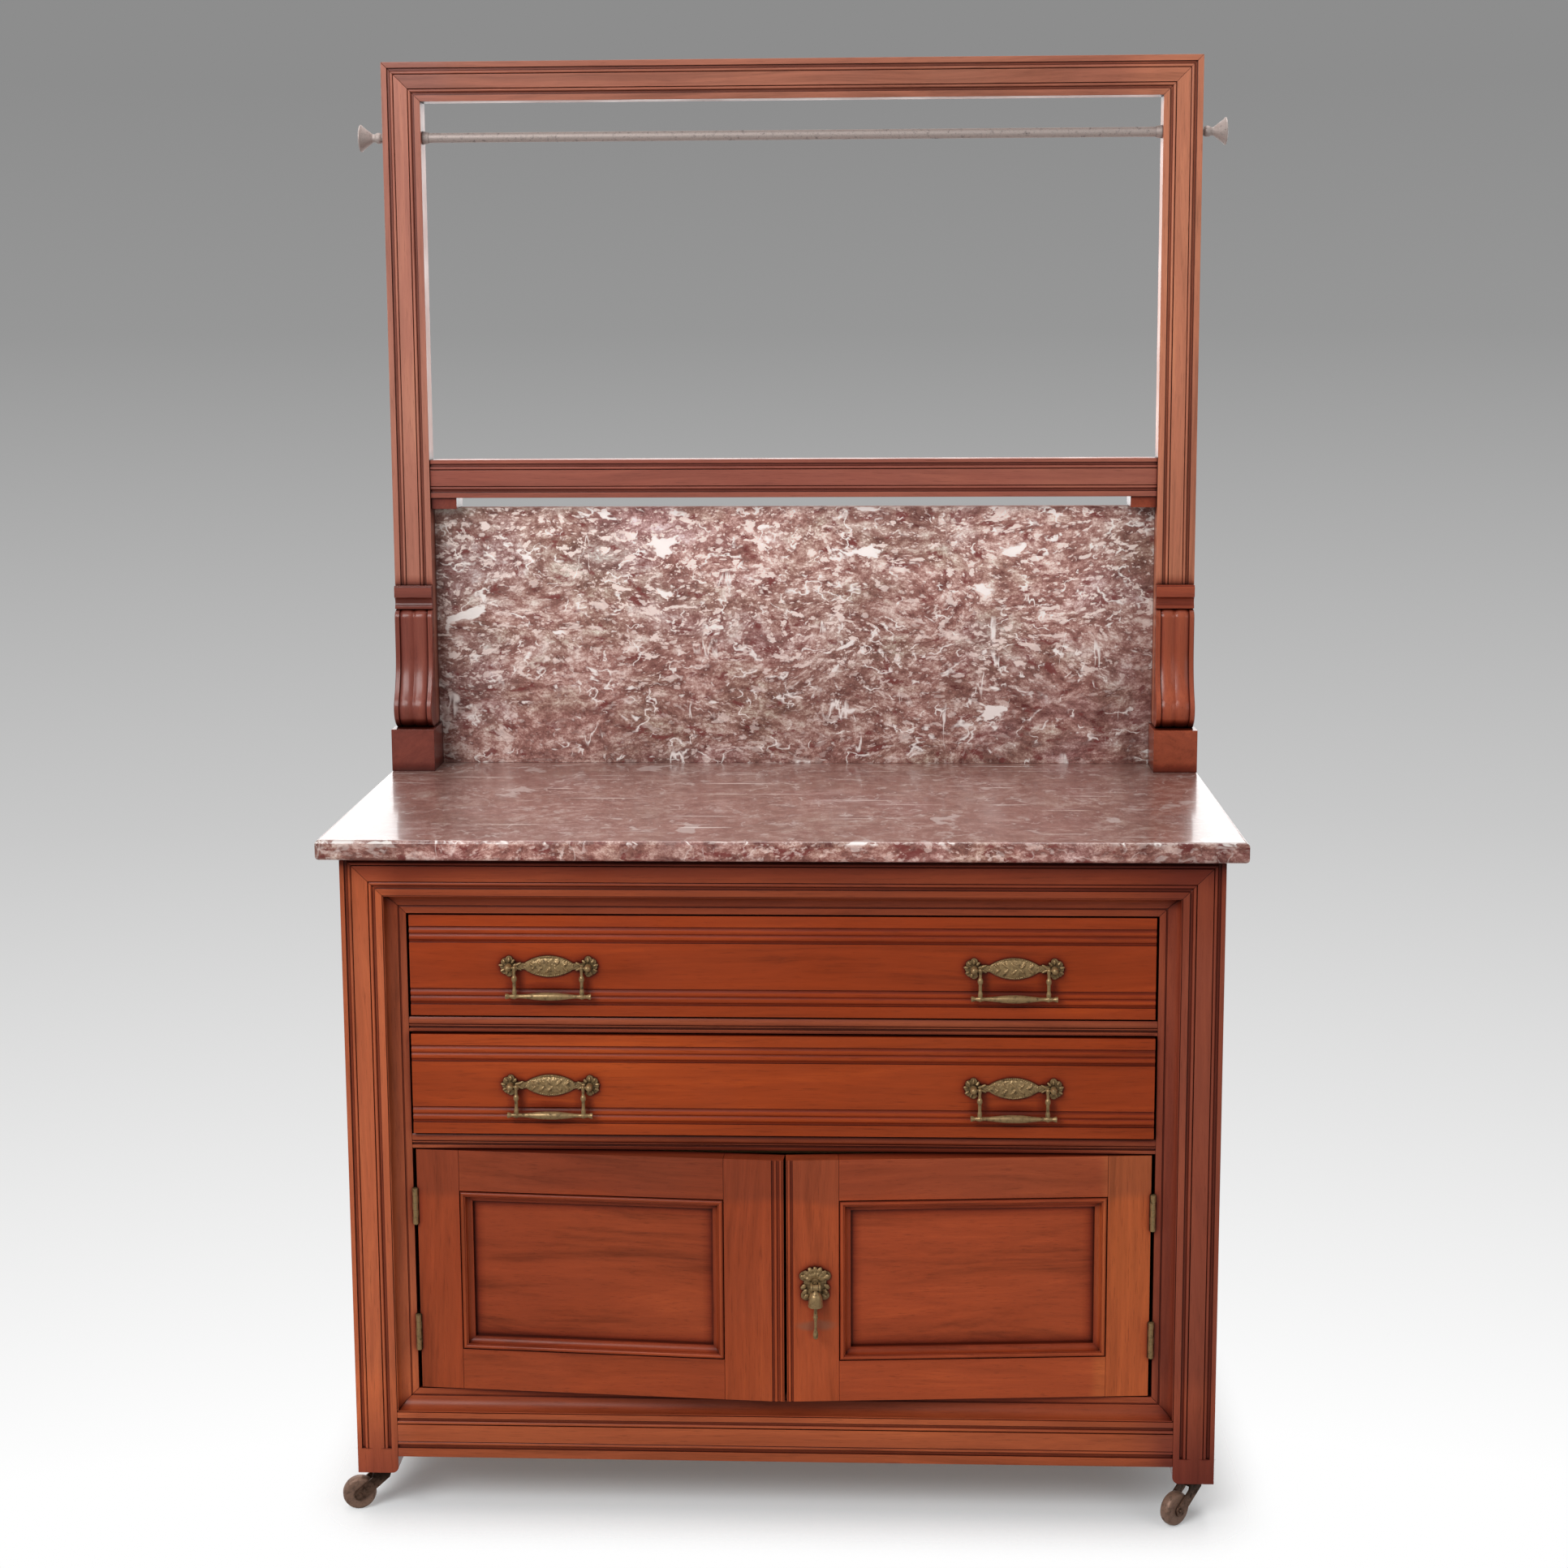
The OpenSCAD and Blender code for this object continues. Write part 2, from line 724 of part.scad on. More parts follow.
module gallery_plinths() {
    color(wood_light) at_face() both_sides()
        box([-gallery_w/2 - plinth_extra/2, stile_y - plinth_reach, top_z],
            [-gallery_x + plinth_extra/2, splash_y, gallery_low]);
}

// A stay is screwed to the rear leg and to the back of the upright, over the splashback.
module gallery_stays() {
    z = top_z + splash_h + run_fit;
    x = gallery_w/2 - stay_in;
    color(pine) at_face() both_sides() {
        box([-x, case_back, top_z - stay_down], [-x + stay_w, case_back + stay_t, z + stay_up]);
        box([-x, splash_y, z], [-x + stay_w, case_back + eps, z + stay_up]);
    }
}

module towel_rod() {
    color(brass) at_face() translate([-gallery_w/2, rod_y, rod_z]) rotate([0, 90, 0])
        cylinder(r = rod_r, h = gallery_w);
}

// A turned finial: a ball on a short neck, a waist and a cone that flares to a thin disc.
module finial() {
    ball = rod_r + 0.8;
    rotate_extrude() difference() {
        union() {
            square([rod_r - 1, finial_len]);
            translate([0, ball + 0.5]) circle(r = ball);
            polygon([[0, 2*ball - 1], [rod_r - 1.5, 2*ball - 1], [rod_r - 1, 2*ball + 1],
                     [finial_r - 2, finial_len - 4.5], [finial_r, finial_len - 3],
                     [finial_r, finial_len - 1.6], [finial_r - 3, finial_len - 0.8],
                     [0, finial_len]]);
        }
        translate([-2*finial_r, -1]) square([2*finial_r, finial_len + 2]);
        translate([-1, -ball]) square([finial_r + 2, ball]);
    }
}

module rod_finials() {
    color(brass) at_face() both_sides() translate([0, rod_y, rod_z]) {
        translate([-gallery_w/2, 0, 0]) rotate([0, -90, 0]) finial();
        translate([-gallery_x, 0, 0]) rotate([0, 90, 0]) difference() {
            cylinder(r1 = rod_r + 2.2, r2 = rod_r + 0.8, h = 8);
            translate([0, 0, -1]) cylinder(r = rod_r + pin_fit, h = 10);
        }
    }
}

// ---- Drawers: out is how far the drawer stands in front of the strip ----

module drawer_front(z, out) {
    color(wood) at_face() translate([-front_w/2, recess - out, z + drawer_gap + front_h])
        along_x(front_w) drawer_front_section();
}

module drawer_box(z, out) {
    y = recess - out + front_t;
    x = front_w/2;
    low = z + run_fit;
    color(pine) at_face() difference() {
        box([-x, y, low], [x, y + box_len, low + box_h]);
        box([-x + box_t, y - 1, low + 10 + box_bottom_t], [x - box_t, y + box_len - box_t, low + box_h + 1]);
        box([-x + box_t, y - 1, low - 1], [x - box_t, y + box_len + 1, low + 10]);
    }
}

module drawer_upper_front() {
    drawer_front(rail_upper_z + rail_t, 0);
}

module drawer_upper_box() {
    drawer_box(rail_upper_z + rail_t, 0);
}

module drawer_lower_front() {
    drawer_front(rail_lower_z + rail_t, lower_out);
}

module drawer_lower_box() {
    drawer_box(rail_lower_z + rail_t, lower_out);
}

// Puts a handle's centre on a drawer front.
module on_drawer(z, out, side) {
    at_face() translate([side*handle_x, recess - out, z + drawer_open_h/2]) children();
}

// Backplate with a lens between two leafy ends, and the bosses that hold the bail.
module handle_plate() {
    lens_h = 25;
    lens_w = 66;
    lens_r = (pow(lens_w/2, 2) + pow(lens_h/2, 2))/lens_h;
    difference() {
        union() {
            rotate([90, 0, 0]) linear_extrude(plate_t) {
                intersection() {
                    translate([0, lens_h/2 - lens_r]) circle(r = lens_r, $fn = 128);
                    translate([0, lens_r - lens_h/2]) circle(r = lens_r, $fn = 128);
                }
                square([2*boss_x, 7], center = true);
                for (s = [-1, 1], k = [-2:2])
                    translate([s*boss_x, 0]) rotate(s > 0 ? 45*k : 180 + 45*k)
                        translate([6.6 + 0.8*abs(k), 0]) circle(r = 4);
                for (s = [-1, 1])
                    translate([s*boss_x, 0]) circle(r = 7);
            }
            for (s = [-1, 1]) translate([s*boss_x, 0, 0]) rotate([90, 0, 0]) {
                cylinder(r = 4, h = bail_stand + 1.5);
                translate([0, 0, bail_stand + 1.5]) sphere(r = 4);
            }
        }
        translate([-boss_x - 10, -bail_stand, 0]) rotate([0, 90, 0])
            cylinder(r = 1.5 + pin_fit, h = 2*boss_x + 20);
    }
}

module handle_plates(z, out) {
    color(brass) for (side = [-1, 1]) on_drawer(z, out, side) handle_plate();
}

module handle_plates_upper() {
    handle_plates(rail_upper_z + rail_t, 0);
}

module handle_plates_lower() {
    handle_plates(rail_lower_z + rail_t, lower_out);
}

// Radius of the bail's grip at a share t of its half length.
grip = [[0, 4.7], [0.14, 4.6], [0.28, 4.1], [0.42, 3.3], [0.56, 2.5], [0.68, 2.1], [0.74, 2.5],
        [0.79, 3.5], [0.84, 2.6], [0.9, 2], [0.96, 3.2], [1, 3.4]];

// A bail: two turned arms, their pins and a swelling grip.
module bail_shape() {
    half = arm_x + 10.5;
    translate([0, -bail_stand, 0]) {
        for (s = [-1, 1]) translate([s*arm_x, 0, 0]) {
            sphere(r = 2.5);
            rotate([0, s*90, 0]) cylinder(r = 1.5, h = boss_x - arm_x + 2.5);
            mirror([0, 0, 1]) rotate_extrude() polygon([[0, 0], [2.4, 1], [1.7, 5], [1.7, bail_drop*0.26],
                [3.2, bail_drop*0.34], [3.2, bail_drop*0.42], [2, bail_drop*0.5],
                [2, bail_drop*0.72], [2.8, bail_drop*0.82], [2.4, bail_drop], [0, bail_drop]]);
        }
        translate([0, 0, -bail_drop]) rotate([0, 90, 0]) rotate_extrude() polygon(concat(
            [[0, -half]],
            [for (i = [len(grip) - 1:-1:1]) [grip[i][1], -grip[i][0]*half]],
            [for (i = [0:len(grip) - 1]) [grip[i][1], grip[i][0]*half]],
            [[0, half]]));
    }
}

module bail(z, out, side) {
    color(brass) on_drawer(z, out, side) bail_shape();
}

module bail_upper_left() {
    bail(rail_upper_z + rail_t, 0, -1);
}

module bail_upper_right() {
    bail(rail_upper_z + rail_t, 0, 1);
}

module bail_lower_left() {
    bail(rail_lower_z + rail_t, lower_out, -1);
}

module bail_lower_right() {
    bail(rail_lower_z + rail_t, lower_out, 1);
}

// ---- Doors: u counts from the hinge edge to the meeting edge, drawn for the left door ----

// Swings a closed left door to where it stands ajar.
module swung() {
    at_face() translate([-hinge_x, hinge_y, 0]) rotate([0, 0, -ajar])
        translate([hinge_x, -hinge_y, 0]) children();
}

module door_side(right) {
    if (right) mirror([1, 0, 0]) swung() children();
    else swung() children();
}

// Meeting stile with beads along its edge.
module meeting_section(w, beads) {
    difference() {
        square([w, door_t]);
        for (i = [1:beads]) translate([w - 6.5*i - 1.2, -1]) square([2.4, 2.6]);
        for (i = [1:beads]) translate([w - 6.5*i + 1.2, -eps]) difference() {
            square([4.1, 1.2]);
            translate([2.05, 2.6]) circle(r = 2.6);
        }
    }
}

module door_stiles(w, beads) {
    inner = door_x - hinge_stile - panel_w;
    stile = w - (door_x - inner);
    difference() {
        translate([-door_x, recess, door_z]) cube([hinge_stile, door_t, door_h]);
        at_butts() butt_room(1);
    }
    translate([-door_x + w - stile, recess, door_z]) linear_extrude(door_h)
        meeting_section(stile, beads);
}

module door_rails_shape() {
    for (z = [door_z, door_z + door_h - door_rail_h])
        translate([-door_x + hinge_stile + joint_gap/2, recess, z])
            cube([panel_w - joint_gap, door_t, door_rail_h]);
}

module door_panel_shape() {
    h = door_h - 2*door_rail_h;
    translate([-door_x + hinge_stile + panel_w/2, recess, door_z + door_rail_h]) {
        mitred_frame(panel_w, h) bolection_section();
        box([-panel_w/2, door_panel_sink, 0], [panel_w/2, door_panel_sink + door_panel_t, h]);
    }
}

module door_left_stiles() {
    color(wood) door_side(false) door_stiles(door_left_w, 2);
}

module door_left_rails() {
    color(wood) door_side(false) door_rails_shape();
}

module door_left_panel() {
    color(wood) door_side(false) door_panel_shape();
}

module door_right_stiles() {
    color(wood) door_side(true) door_stiles(door_right_w, 1);
}

module door_right_rails() {
    color(wood) door_side(true) door_rails_shape();
}

module door_right_panel() {
    color(wood) door_side(true) door_panel_shape();
}

// ---- Butt hinges: five knuckles, the odd ones on the case ----

module knuckles(odd) {
    k = butt_len/5;
    for (i = [odd ? 0 : 1:2:4]) translate([0, 0, i*k + 0.1])
        cylinder(r = knuckle_r, h = k - 0.2, $fn = 48);
}

module at_butts() {
    for (z = [door_z + butt_inset, door_z + door_h - butt_inset - butt_len])
        translate([-hinge_x, hinge_y, z]) children();
}

// The leaf on one side of the axis: -1 is let into the case and 1 into the door.
module butt_leaf(side) {
    translate([side > 0 ? hinge_gap/2 : -hinge_gap/2 - leaf_t, 0, 0])
        cube([leaf_t, knuckle_out + leaf_d, butt_len]);
}

// What is cut from the wood for a leaf and for the knuckles.
module butt_room(side) {
    butt_leaf(side);
    translate([0, 0, -pass_fit]) cylinder(r = knuckle_r + pass_fit, h = butt_len + 2*pass_fit);
}

// Room around the knuckles that belong to the other leaf.
module knuckle_room(odd) {
    k = butt_len/5;
    for (i = [odd ? 0 : 1:2:4]) translate([0, 0, i*k - 0.1])
        cylinder(r = knuckle_r + pass_fit, h = k + 0.2);
}

module case_butt() {
    knuckles(true);
    cylinder(r = hinge_pin_r, h = butt_len, $fn = 48);
    difference() {
        butt_leaf(-1);
        knuckle_room(false);
    }
}

module door_butt() {
    difference() {
        union() {
            knuckles(false);
            difference() {
                butt_leaf(1);
                knuckle_room(true);
            }
        }
        translate([0, 0, -1]) cylinder(r = hinge_pin_r + pin_fit, h = butt_len + 2, $fn = 48);
    }
}

module hinges_left_case() {
    color(brass) at_face() at_butts() case_butt();
}

module hinges_left_door() {
    color(brass) door_side(false) at_butts() door_butt();
}

module hinges_right_case() {
    color(brass) mirror([1, 0, 0]) at_face() at_butts() case_butt();
}

module hinges_right_door() {
    color(brass) door_side(true) at_butts() door_butt();
}

// ---- Drop pull on the right door ----

module at_pull() {
    door_side(true)
        translate([-door_x + door_right_w - pull_inset, recess, door_z + pull_z]) children();
}

module pull_plate() {
    color(brass) at_pull() {
        rotate([90, 0, 0]) linear_extrude(plate_t) {
            translate([0, -6]) circle(r = 13);
            for (k = [-1.5:1:1.5]) translate([k*8.6, 12 - abs(k)*1.5]) circle(r = 5.4);
            translate([0, 4]) square([26, 16], center = true);
            for (s = [-1, 1]) translate([s*11, -14]) circle(r = 5.5);
        }
        rotate([90, 0, 0]) cylinder(r = 3.4, h = pull_stand - 5);
        for (s = [-1, 1]) translate([s*4.7, 0, 0]) {
            translate([-1.2, -pull_stand, -3.2]) cube([2.4, pull_stand - 4, 6.4]);
            translate([-1.2, -pull_stand, 0]) rotate([0, 90, 0]) cylinder(r = 4, h = 2.4);
        }
        translate([-5.9, -pull_stand + 8, -3.2]) cube([11.8, 2, 6.4]);
        translate([-5, -pull_stand, 0]) rotate([0, 90, 0]) cylinder(r = 1.5, h = 10);
    }
}

// A bell-shaped pendant on an eye, with a long turned tip.
module pull_drop() {
    l = pendant_len;
    color(brass) at_pull() translate([0, -pull_stand, 0]) difference() {
        union() {
            translate([-3, 0, 0]) rotate([0, 90, 0]) cylinder(r = 3.6, h = 6);
            mirror([0, 0, 1]) rotate_extrude() polygon([[0, 0], [2.4, 0], [2.6, 4], [4.5, 6], [6.8, 9],
                [8, 13], [8.6, 19], [8.8, 22.5], [7.6, 23], [2.2, 21], [1.8, 26], [2.4, 34], [3, 36],
                [2.4, 38], [1.6, 41], [1.6, l - 14], [3.2, l - 7], [2.8, l - 2.5], [0, l]]);
        }
        translate([-4, 0, 0]) rotate([0, 90, 0]) cylinder(r = 1.5 + pin_fit, h = 8);
    }
}

// ---- Casters ----

stud_r = 4;
horn_top = leg_end_z - 3 - pass_fit;
horn_low = horn_top - 5;
cheek_t = 2.5;
wheel_in = wheel_w/2 + pass_fit;

module at_leg(side, rear) {
    y = rear ? case_back - leg_d/2 : leg_d/2;
    at_face() translate([side*leg_x, y, 0]) children();
}

module caster_sockets() {
    color(iron) for (side = [-1, 1], rear = [false, true]) at_leg(side, rear) {
        translate([0, 0, leg_end_z - 3]) cylinder(r = socket_r, h = 3);
        translate([0, 0, horn_low - pass_fit - 2]) cylinder(r = stud_r + 2, h = 2);
        translate([0, 0, horn_low - pass_fit - 1]) cylinder(r = stud_r, h = leg_end_z - horn_low);
    }
}

// Outline of a cheek in the plane of the wheel: from the yoke down to the axle.
module cheek_outline() {
    polygon([[-7, horn_top], [-10, horn_top - 3], [-8, horn_low - 4], [trail - 7, wheel_r - 4],
             [trail + 2, wheel_r - 6.5], [trail + 7, wheel_r + 1], [trail + 3, wheel_r + 6],
             [13, horn_low - 3], [11, horn_top]]);
    translate([trail, wheel_r]) circle(r = 7);
}

module horn(turn) {
    color(iron) rotate([0, 0, turn]) difference() {
        union() {
            for (s = [-1, 1]) translate([0, s*(wheel_in + cheek_t/2), 0]) rotate([90, 0, 0])
                linear_extrude(cheek_t, center = true) cheek_outline();
            translate([0, 0, horn_low]) cylinder(r = 11, h = horn_top - horn_low);
            translate([-7, -wheel_in - cheek_t, horn_low])
                cube([18, 2*(wheel_in + cheek_t), horn_top - horn_low]);
            translate([trail, 0, wheel_r]) rotate([90, 0, 0])
                cylinder(r = 3, h = 2*(wheel_in + cheek_t) + 2, center = true);
        }
        translate([0, 0, horn_low - 1]) cylinder(r = stud_r + pin_fit, h = 10);
    }
}

module wheel(turn) {
    color(iron) rotate([0, 0, turn]) translate([trail, 0, wheel_r]) rotate([90, 0, 0])
        difference() {
            rotate_extrude($fn = 96) translate([0, -wheel_w/2])
                polygon([[0, 0], [wheel_r - 4, 0], [wheel_r - 1.2, 1.6], [wheel_r, wheel_w*0.35],
                         [wheel_r, wheel_w*0.65], [wheel_r - 1.2, wheel_w - 1.6],
                         [wheel_r - 4, wheel_w], [0, wheel_w]]);
            cylinder(r = 3 + pin_fit, h = wheel_w + 2, center = true);
        }
}

turn_front_left = 195;
turn_front_right = 222;
turn_rear_left = 160;
turn_rear_right = 20;

module horn_front_left() {
    at_leg(-1, false) horn(turn_front_left);
}

module horn_front_right() {
    at_leg(1, false) horn(turn_front_right);
}

module horn_rear_left() {
    at_leg(-1, true) horn(turn_rear_left);
}

module horn_rear_right() {
    at_leg(1, true) horn(turn_rear_right);
}

module wheel_front_left() {
    at_leg(-1, false) wheel(turn_front_left);
}

module wheel_front_right() {
    at_leg(1, false) wheel(turn_front_right);
}

module wheel_rear_left() {
    at_leg(-1, true) wheel(turn_rear_left);
}

module wheel_rear_right() {
    at_leg(1, true) wheel(turn_rear_right);
}

legs_front();
legs_rear();
rail_front_top();
rail_front_bottom();
opening_moulding();
side_rails();
side_panels();
drawer_rails();
drawer_runners();
cupboard_floor();
dust_board();
door_stops();
rear_rails();
back_boards();
top_bearers();
marble_top();
splashback();
gallery_uprights();
gallery_top_rail();
gallery_mid_rail();
splash_blocks();
scroll_brackets();
bracket_collars();
gallery_plinths();
gallery_stays();
towel_rod();
rod_finials();
drawer_upper_front();
drawer_upper_box();
drawer_lower_front();
drawer_lower_box();
handle_plates_upper();
handle_plates_lower();
bail_upper_left();
bail_upper_right();
bail_lower_left();
bail_lower_right();
door_left_stiles();
door_left_rails();
door_left_panel();
door_right_stiles();
door_right_rails();
door_right_panel();
hinges_left_case();
hinges_left_door();
hinges_right_case();
hinges_right_door();
pull_plate();
pull_drop();
caster_sockets();
horn_front_left();
horn_front_right();
horn_rear_left();
horn_rear_right();
wheel_front_left();
wheel_front_right();
wheel_rear_left();
wheel_rear_right();
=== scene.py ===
"""Washstand with a marble top: the finish of every surface, and the fine pieces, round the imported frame."""

import math
import random

import bpy
from bpy.props import FloatProperty, FloatVectorProperty, PointerProperty
from mathutils import Matrix, Vector


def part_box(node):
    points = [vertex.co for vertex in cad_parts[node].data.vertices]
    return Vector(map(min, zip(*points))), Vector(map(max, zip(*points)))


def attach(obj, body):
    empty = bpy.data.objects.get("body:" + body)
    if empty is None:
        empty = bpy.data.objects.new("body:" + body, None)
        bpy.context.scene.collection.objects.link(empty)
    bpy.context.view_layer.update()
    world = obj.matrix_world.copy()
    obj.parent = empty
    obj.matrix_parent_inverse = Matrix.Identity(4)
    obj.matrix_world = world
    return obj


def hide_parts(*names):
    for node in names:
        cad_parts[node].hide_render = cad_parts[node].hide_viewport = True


bl_info = {
    "name": "Washstand with marble top",
    "version": (1, 0, 0),
    "blender": (4, 5, 0),
    "location": "View3D > Sidebar > Washstand",
    "description": "Finishes and fine pieces of a mahogany washstand with a marble top",
    "category": "Object",
}

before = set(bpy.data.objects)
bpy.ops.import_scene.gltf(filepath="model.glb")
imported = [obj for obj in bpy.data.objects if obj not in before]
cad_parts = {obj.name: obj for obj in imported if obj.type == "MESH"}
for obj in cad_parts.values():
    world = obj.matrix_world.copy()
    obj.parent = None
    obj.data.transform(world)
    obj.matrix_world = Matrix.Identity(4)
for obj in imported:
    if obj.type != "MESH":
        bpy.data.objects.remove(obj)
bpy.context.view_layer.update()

MM = 0.001
# The front face of the legs, from which the joiner measures back.
FACE_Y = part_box("legs_front")[0].y
CASE_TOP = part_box("marble_top")[0].z
DOOR_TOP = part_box("door_left_stiles")[1].z
DOOR_AJAR = math.radians(3.7)
# From the door's face out to the pin that the drop of the pull hangs on.
PULL_STAND = 13 * MM

# Corners of the frame's loose triangles nearer than this are one, and faces nearer to flush are one flat.
WELD = 0.005 * MM
FLUSH = math.radians(0.4)
# Faces that meet at more than this meet in an edge, and the others belong to one curve.
EDGE_ANGLE = math.radians(32)
STONE_ARRIS = 0.8 * MM
METAL_ARRIS = 0.3 * MM
WHEEL_ARRIS = 0.8 * MM
PANEL_MOULDING = 22 * MM
# In square metres: a face of a door's panel that is larger is one of its flats.
BROAD_FACE = 0.01

# An axis, and the places on it where another tint of the wood starts and is full. Most of the tints laid along
# them are painted light and shade.
LEFT_LEG = ("X", -0.43, -0.47)
RIGHT_LEG = ("X", 0.40, 0.46)
BOTTOM_RAIL = ("Z", 0.20, 0.16)
DRAWER_LEVEL = ("Z", 0.66, 0.76)
UNDER_MARBLE = ("Z", CASE_TOP - 50 * MM, CASE_TOP - 5 * MM)
DOOR_HEAD = ("Z", DOOR_TOP - 60 * MM, DOOR_TOP - 45 * MM)
RIGHT_STILE = ("X", 0.365, 0.38)
FEET = ("Z", 0.17, 0.03)
# How far from the middle, to either side, the legs' own tint starts and is full.
ONLY_LEGS = (0.43, 0.46)


def tone(red, green, blue):
    """A colour as a painter reads it, 0 to 255, in the linear values that shaders take."""
    return tuple(
        c / 12.92 if c <= 0.04045 else ((c + 0.055) / 1.055) ** 2.4
        for c in (red / 255, green / 255, blue / 255)
    )


def colour(name, description, default):
    return FloatVectorProperty(
        name=name, description=description, subtype="COLOR", size=3, min=0, max=1, default=tone(*default)
    )


def fraction(name, description, default):
    return FloatProperty(name=name, description=description, default=default, min=0, max=1, subtype="FACTOR")


def watts(name, description, default):
    return FloatProperty(name=name, description=description, default=default, min=0, unit="POWER")


def tilt(name, description, default):
    return FloatProperty(name=name, description=description, default=default, subtype="ANGLE", unit="ROTATION")


# ------------------------------------------------------------------ settings


class WoodSettings(bpy.types.PropertyGroup):
    case: colour("Case", "Mahogany of the legs and the case", (152, 72, 44))
    drawers: colour("Drawers", "Mahogany of the drawer fronts", (153, 57, 18))
    # The gallery's paler, pinker colour is partly its mahogany and partly a painted sheen, the light that its
    # polish gives back.
    gallery: colour("Gallery", "Paler, pinker mahogany of the towel gallery", (173, 104, 82))
    rail: colour("Gallery rail", "Darker rail above the splashback", (150, 82, 68))
    doors: colour("Doors", "Red-brown of the doors", (158, 67, 34))
    plinths: colour("Plinths", "Deep red of the plinths and the scroll brackets", (136, 64, 50))
    inside: colour("Inside", "Unpolished pine of the linings and the back", (188, 139, 92))
    # The old polish gathered in the grooves, with the grooves' painted shade laid into the same colour.
    grime_and_shade: colour("Grime", "Old polish that has gathered in the grooves", (52, 13, 7))
    arris: FloatProperty(
        name="Arris", description="Width that wear has rounded the edges to",
        default=0.55 * MM, min=0.1 * MM, max=2 * MM, unit="LENGTH",
    )
    gloss: fraction("Gloss", "Strength of the polish over the wood", 0.12)


class MarbleSettings(bpy.types.PropertyGroup):
    ground: colour("Ground", "Brown-red mass of the stone", (157, 108, 99))
    haze: colour("Haze", "Paler pink clouds in the stone", (199, 160, 150))
    rust: colour("Rust", "Dark red spots", (122, 58, 55))
    fleck: colour("Fleck", "Pink-white shells and flecks", (244, 224, 216))
    worn: colour("Worn top", "Even brown that use has given to the top", (149, 109, 99))
    vein: colour("Vein", "White veins", (253, 243, 238))
    fleck_size: FloatProperty(
        name="Fleck size", description="Spacing of the largest flecks",
        default=0.022, min=0.005, max=0.1, unit="LENGTH",
    )


class BrassSettings(bpy.types.PropertyGroup):
    bright: colour("Bright", "Rubbed brass on the high places", (176, 146, 102))
    tarnish: colour("Tarnish", "Brown tarnish in the hollows", (62, 44, 24))
    rod: colour("Towel rod", "Dull silvery brass of the rod and its finials", (186, 172, 166))
    iron: colour("Iron", "Blackened iron of the casters", (84, 66, 56))
    wheel: colour("Wheel", "Worn brown face of the caster wheels", (150, 118, 100))


class StageSettings(bpy.types.PropertyGroup):
    paper: colour("Paper", "Floor round the washstand's feet", (255, 255, 255))
    low: colour("Low backdrop", "Backdrop at its lower edge", (255, 255, 255))
    high: colour("High backdrop", "Backdrop at its upper edge", (141, 141, 141))
    glow: fraction("Glow", "Share of the floor's brightness that no shadow takes", 0.1)
    matt: fraction("Matt", "Share of the lamps' light that the floor gives back", 1.0)
    fade: FloatProperty(
        name="Fade", description="Width over which the floor fades out round the washstand",
        default=0.13, min=0.05, max=3, unit="LENGTH",
    )
    lens: FloatProperty(
        name="Lens", description="Focal length of the camera for a 36 mm sensor, in millimetres",
        default=53.247, min=20, max=200,
    )
    rise: FloatProperty(
        name="Shift", description="Vertical shift of the camera, as a share of the picture", default=-0.08333,
    )
    pitch: tilt("Pitch", "How far the camera looks down", 0.1379)
    yaw: tilt("Yaw", "How far the camera is turned to its right", -0.0399)
    roll: tilt("Roll", "How far the camera is tipped over", -0.0053)
    stand: FloatVectorProperty(
        name="Stand", description="Place of the camera, measured from the front of the legs",
        subtype="XYZ", unit="LENGTH", size=3, default=(0.110493, -2.60519, 1.408635),
    )
    key: watts("Key", "Power of the large lamp at the front left", 105)
    fill: watts("Fill", "Power of the soft lamp at the right", 12)
    top: watts("Top", "Power of the lamp overhead", 52)
    back: watts("Back", "Power of the wide lamp behind", 80)
    sky: FloatProperty(name="Sky", description="Strength of the even light from all round", default=0.3, min=0)
    gleam: fraction("Gleam", "What the polish mirrors of the dark room in front", 0.12)


GROUPS = {
    "washstand_wood": WoodSettings,
    "washstand_marble": MarbleSettings,
    "washstand_brass": BrassSettings,
    "washstand_stage": StageSettings,
}


# ------------------------------------------------------------------ shaders


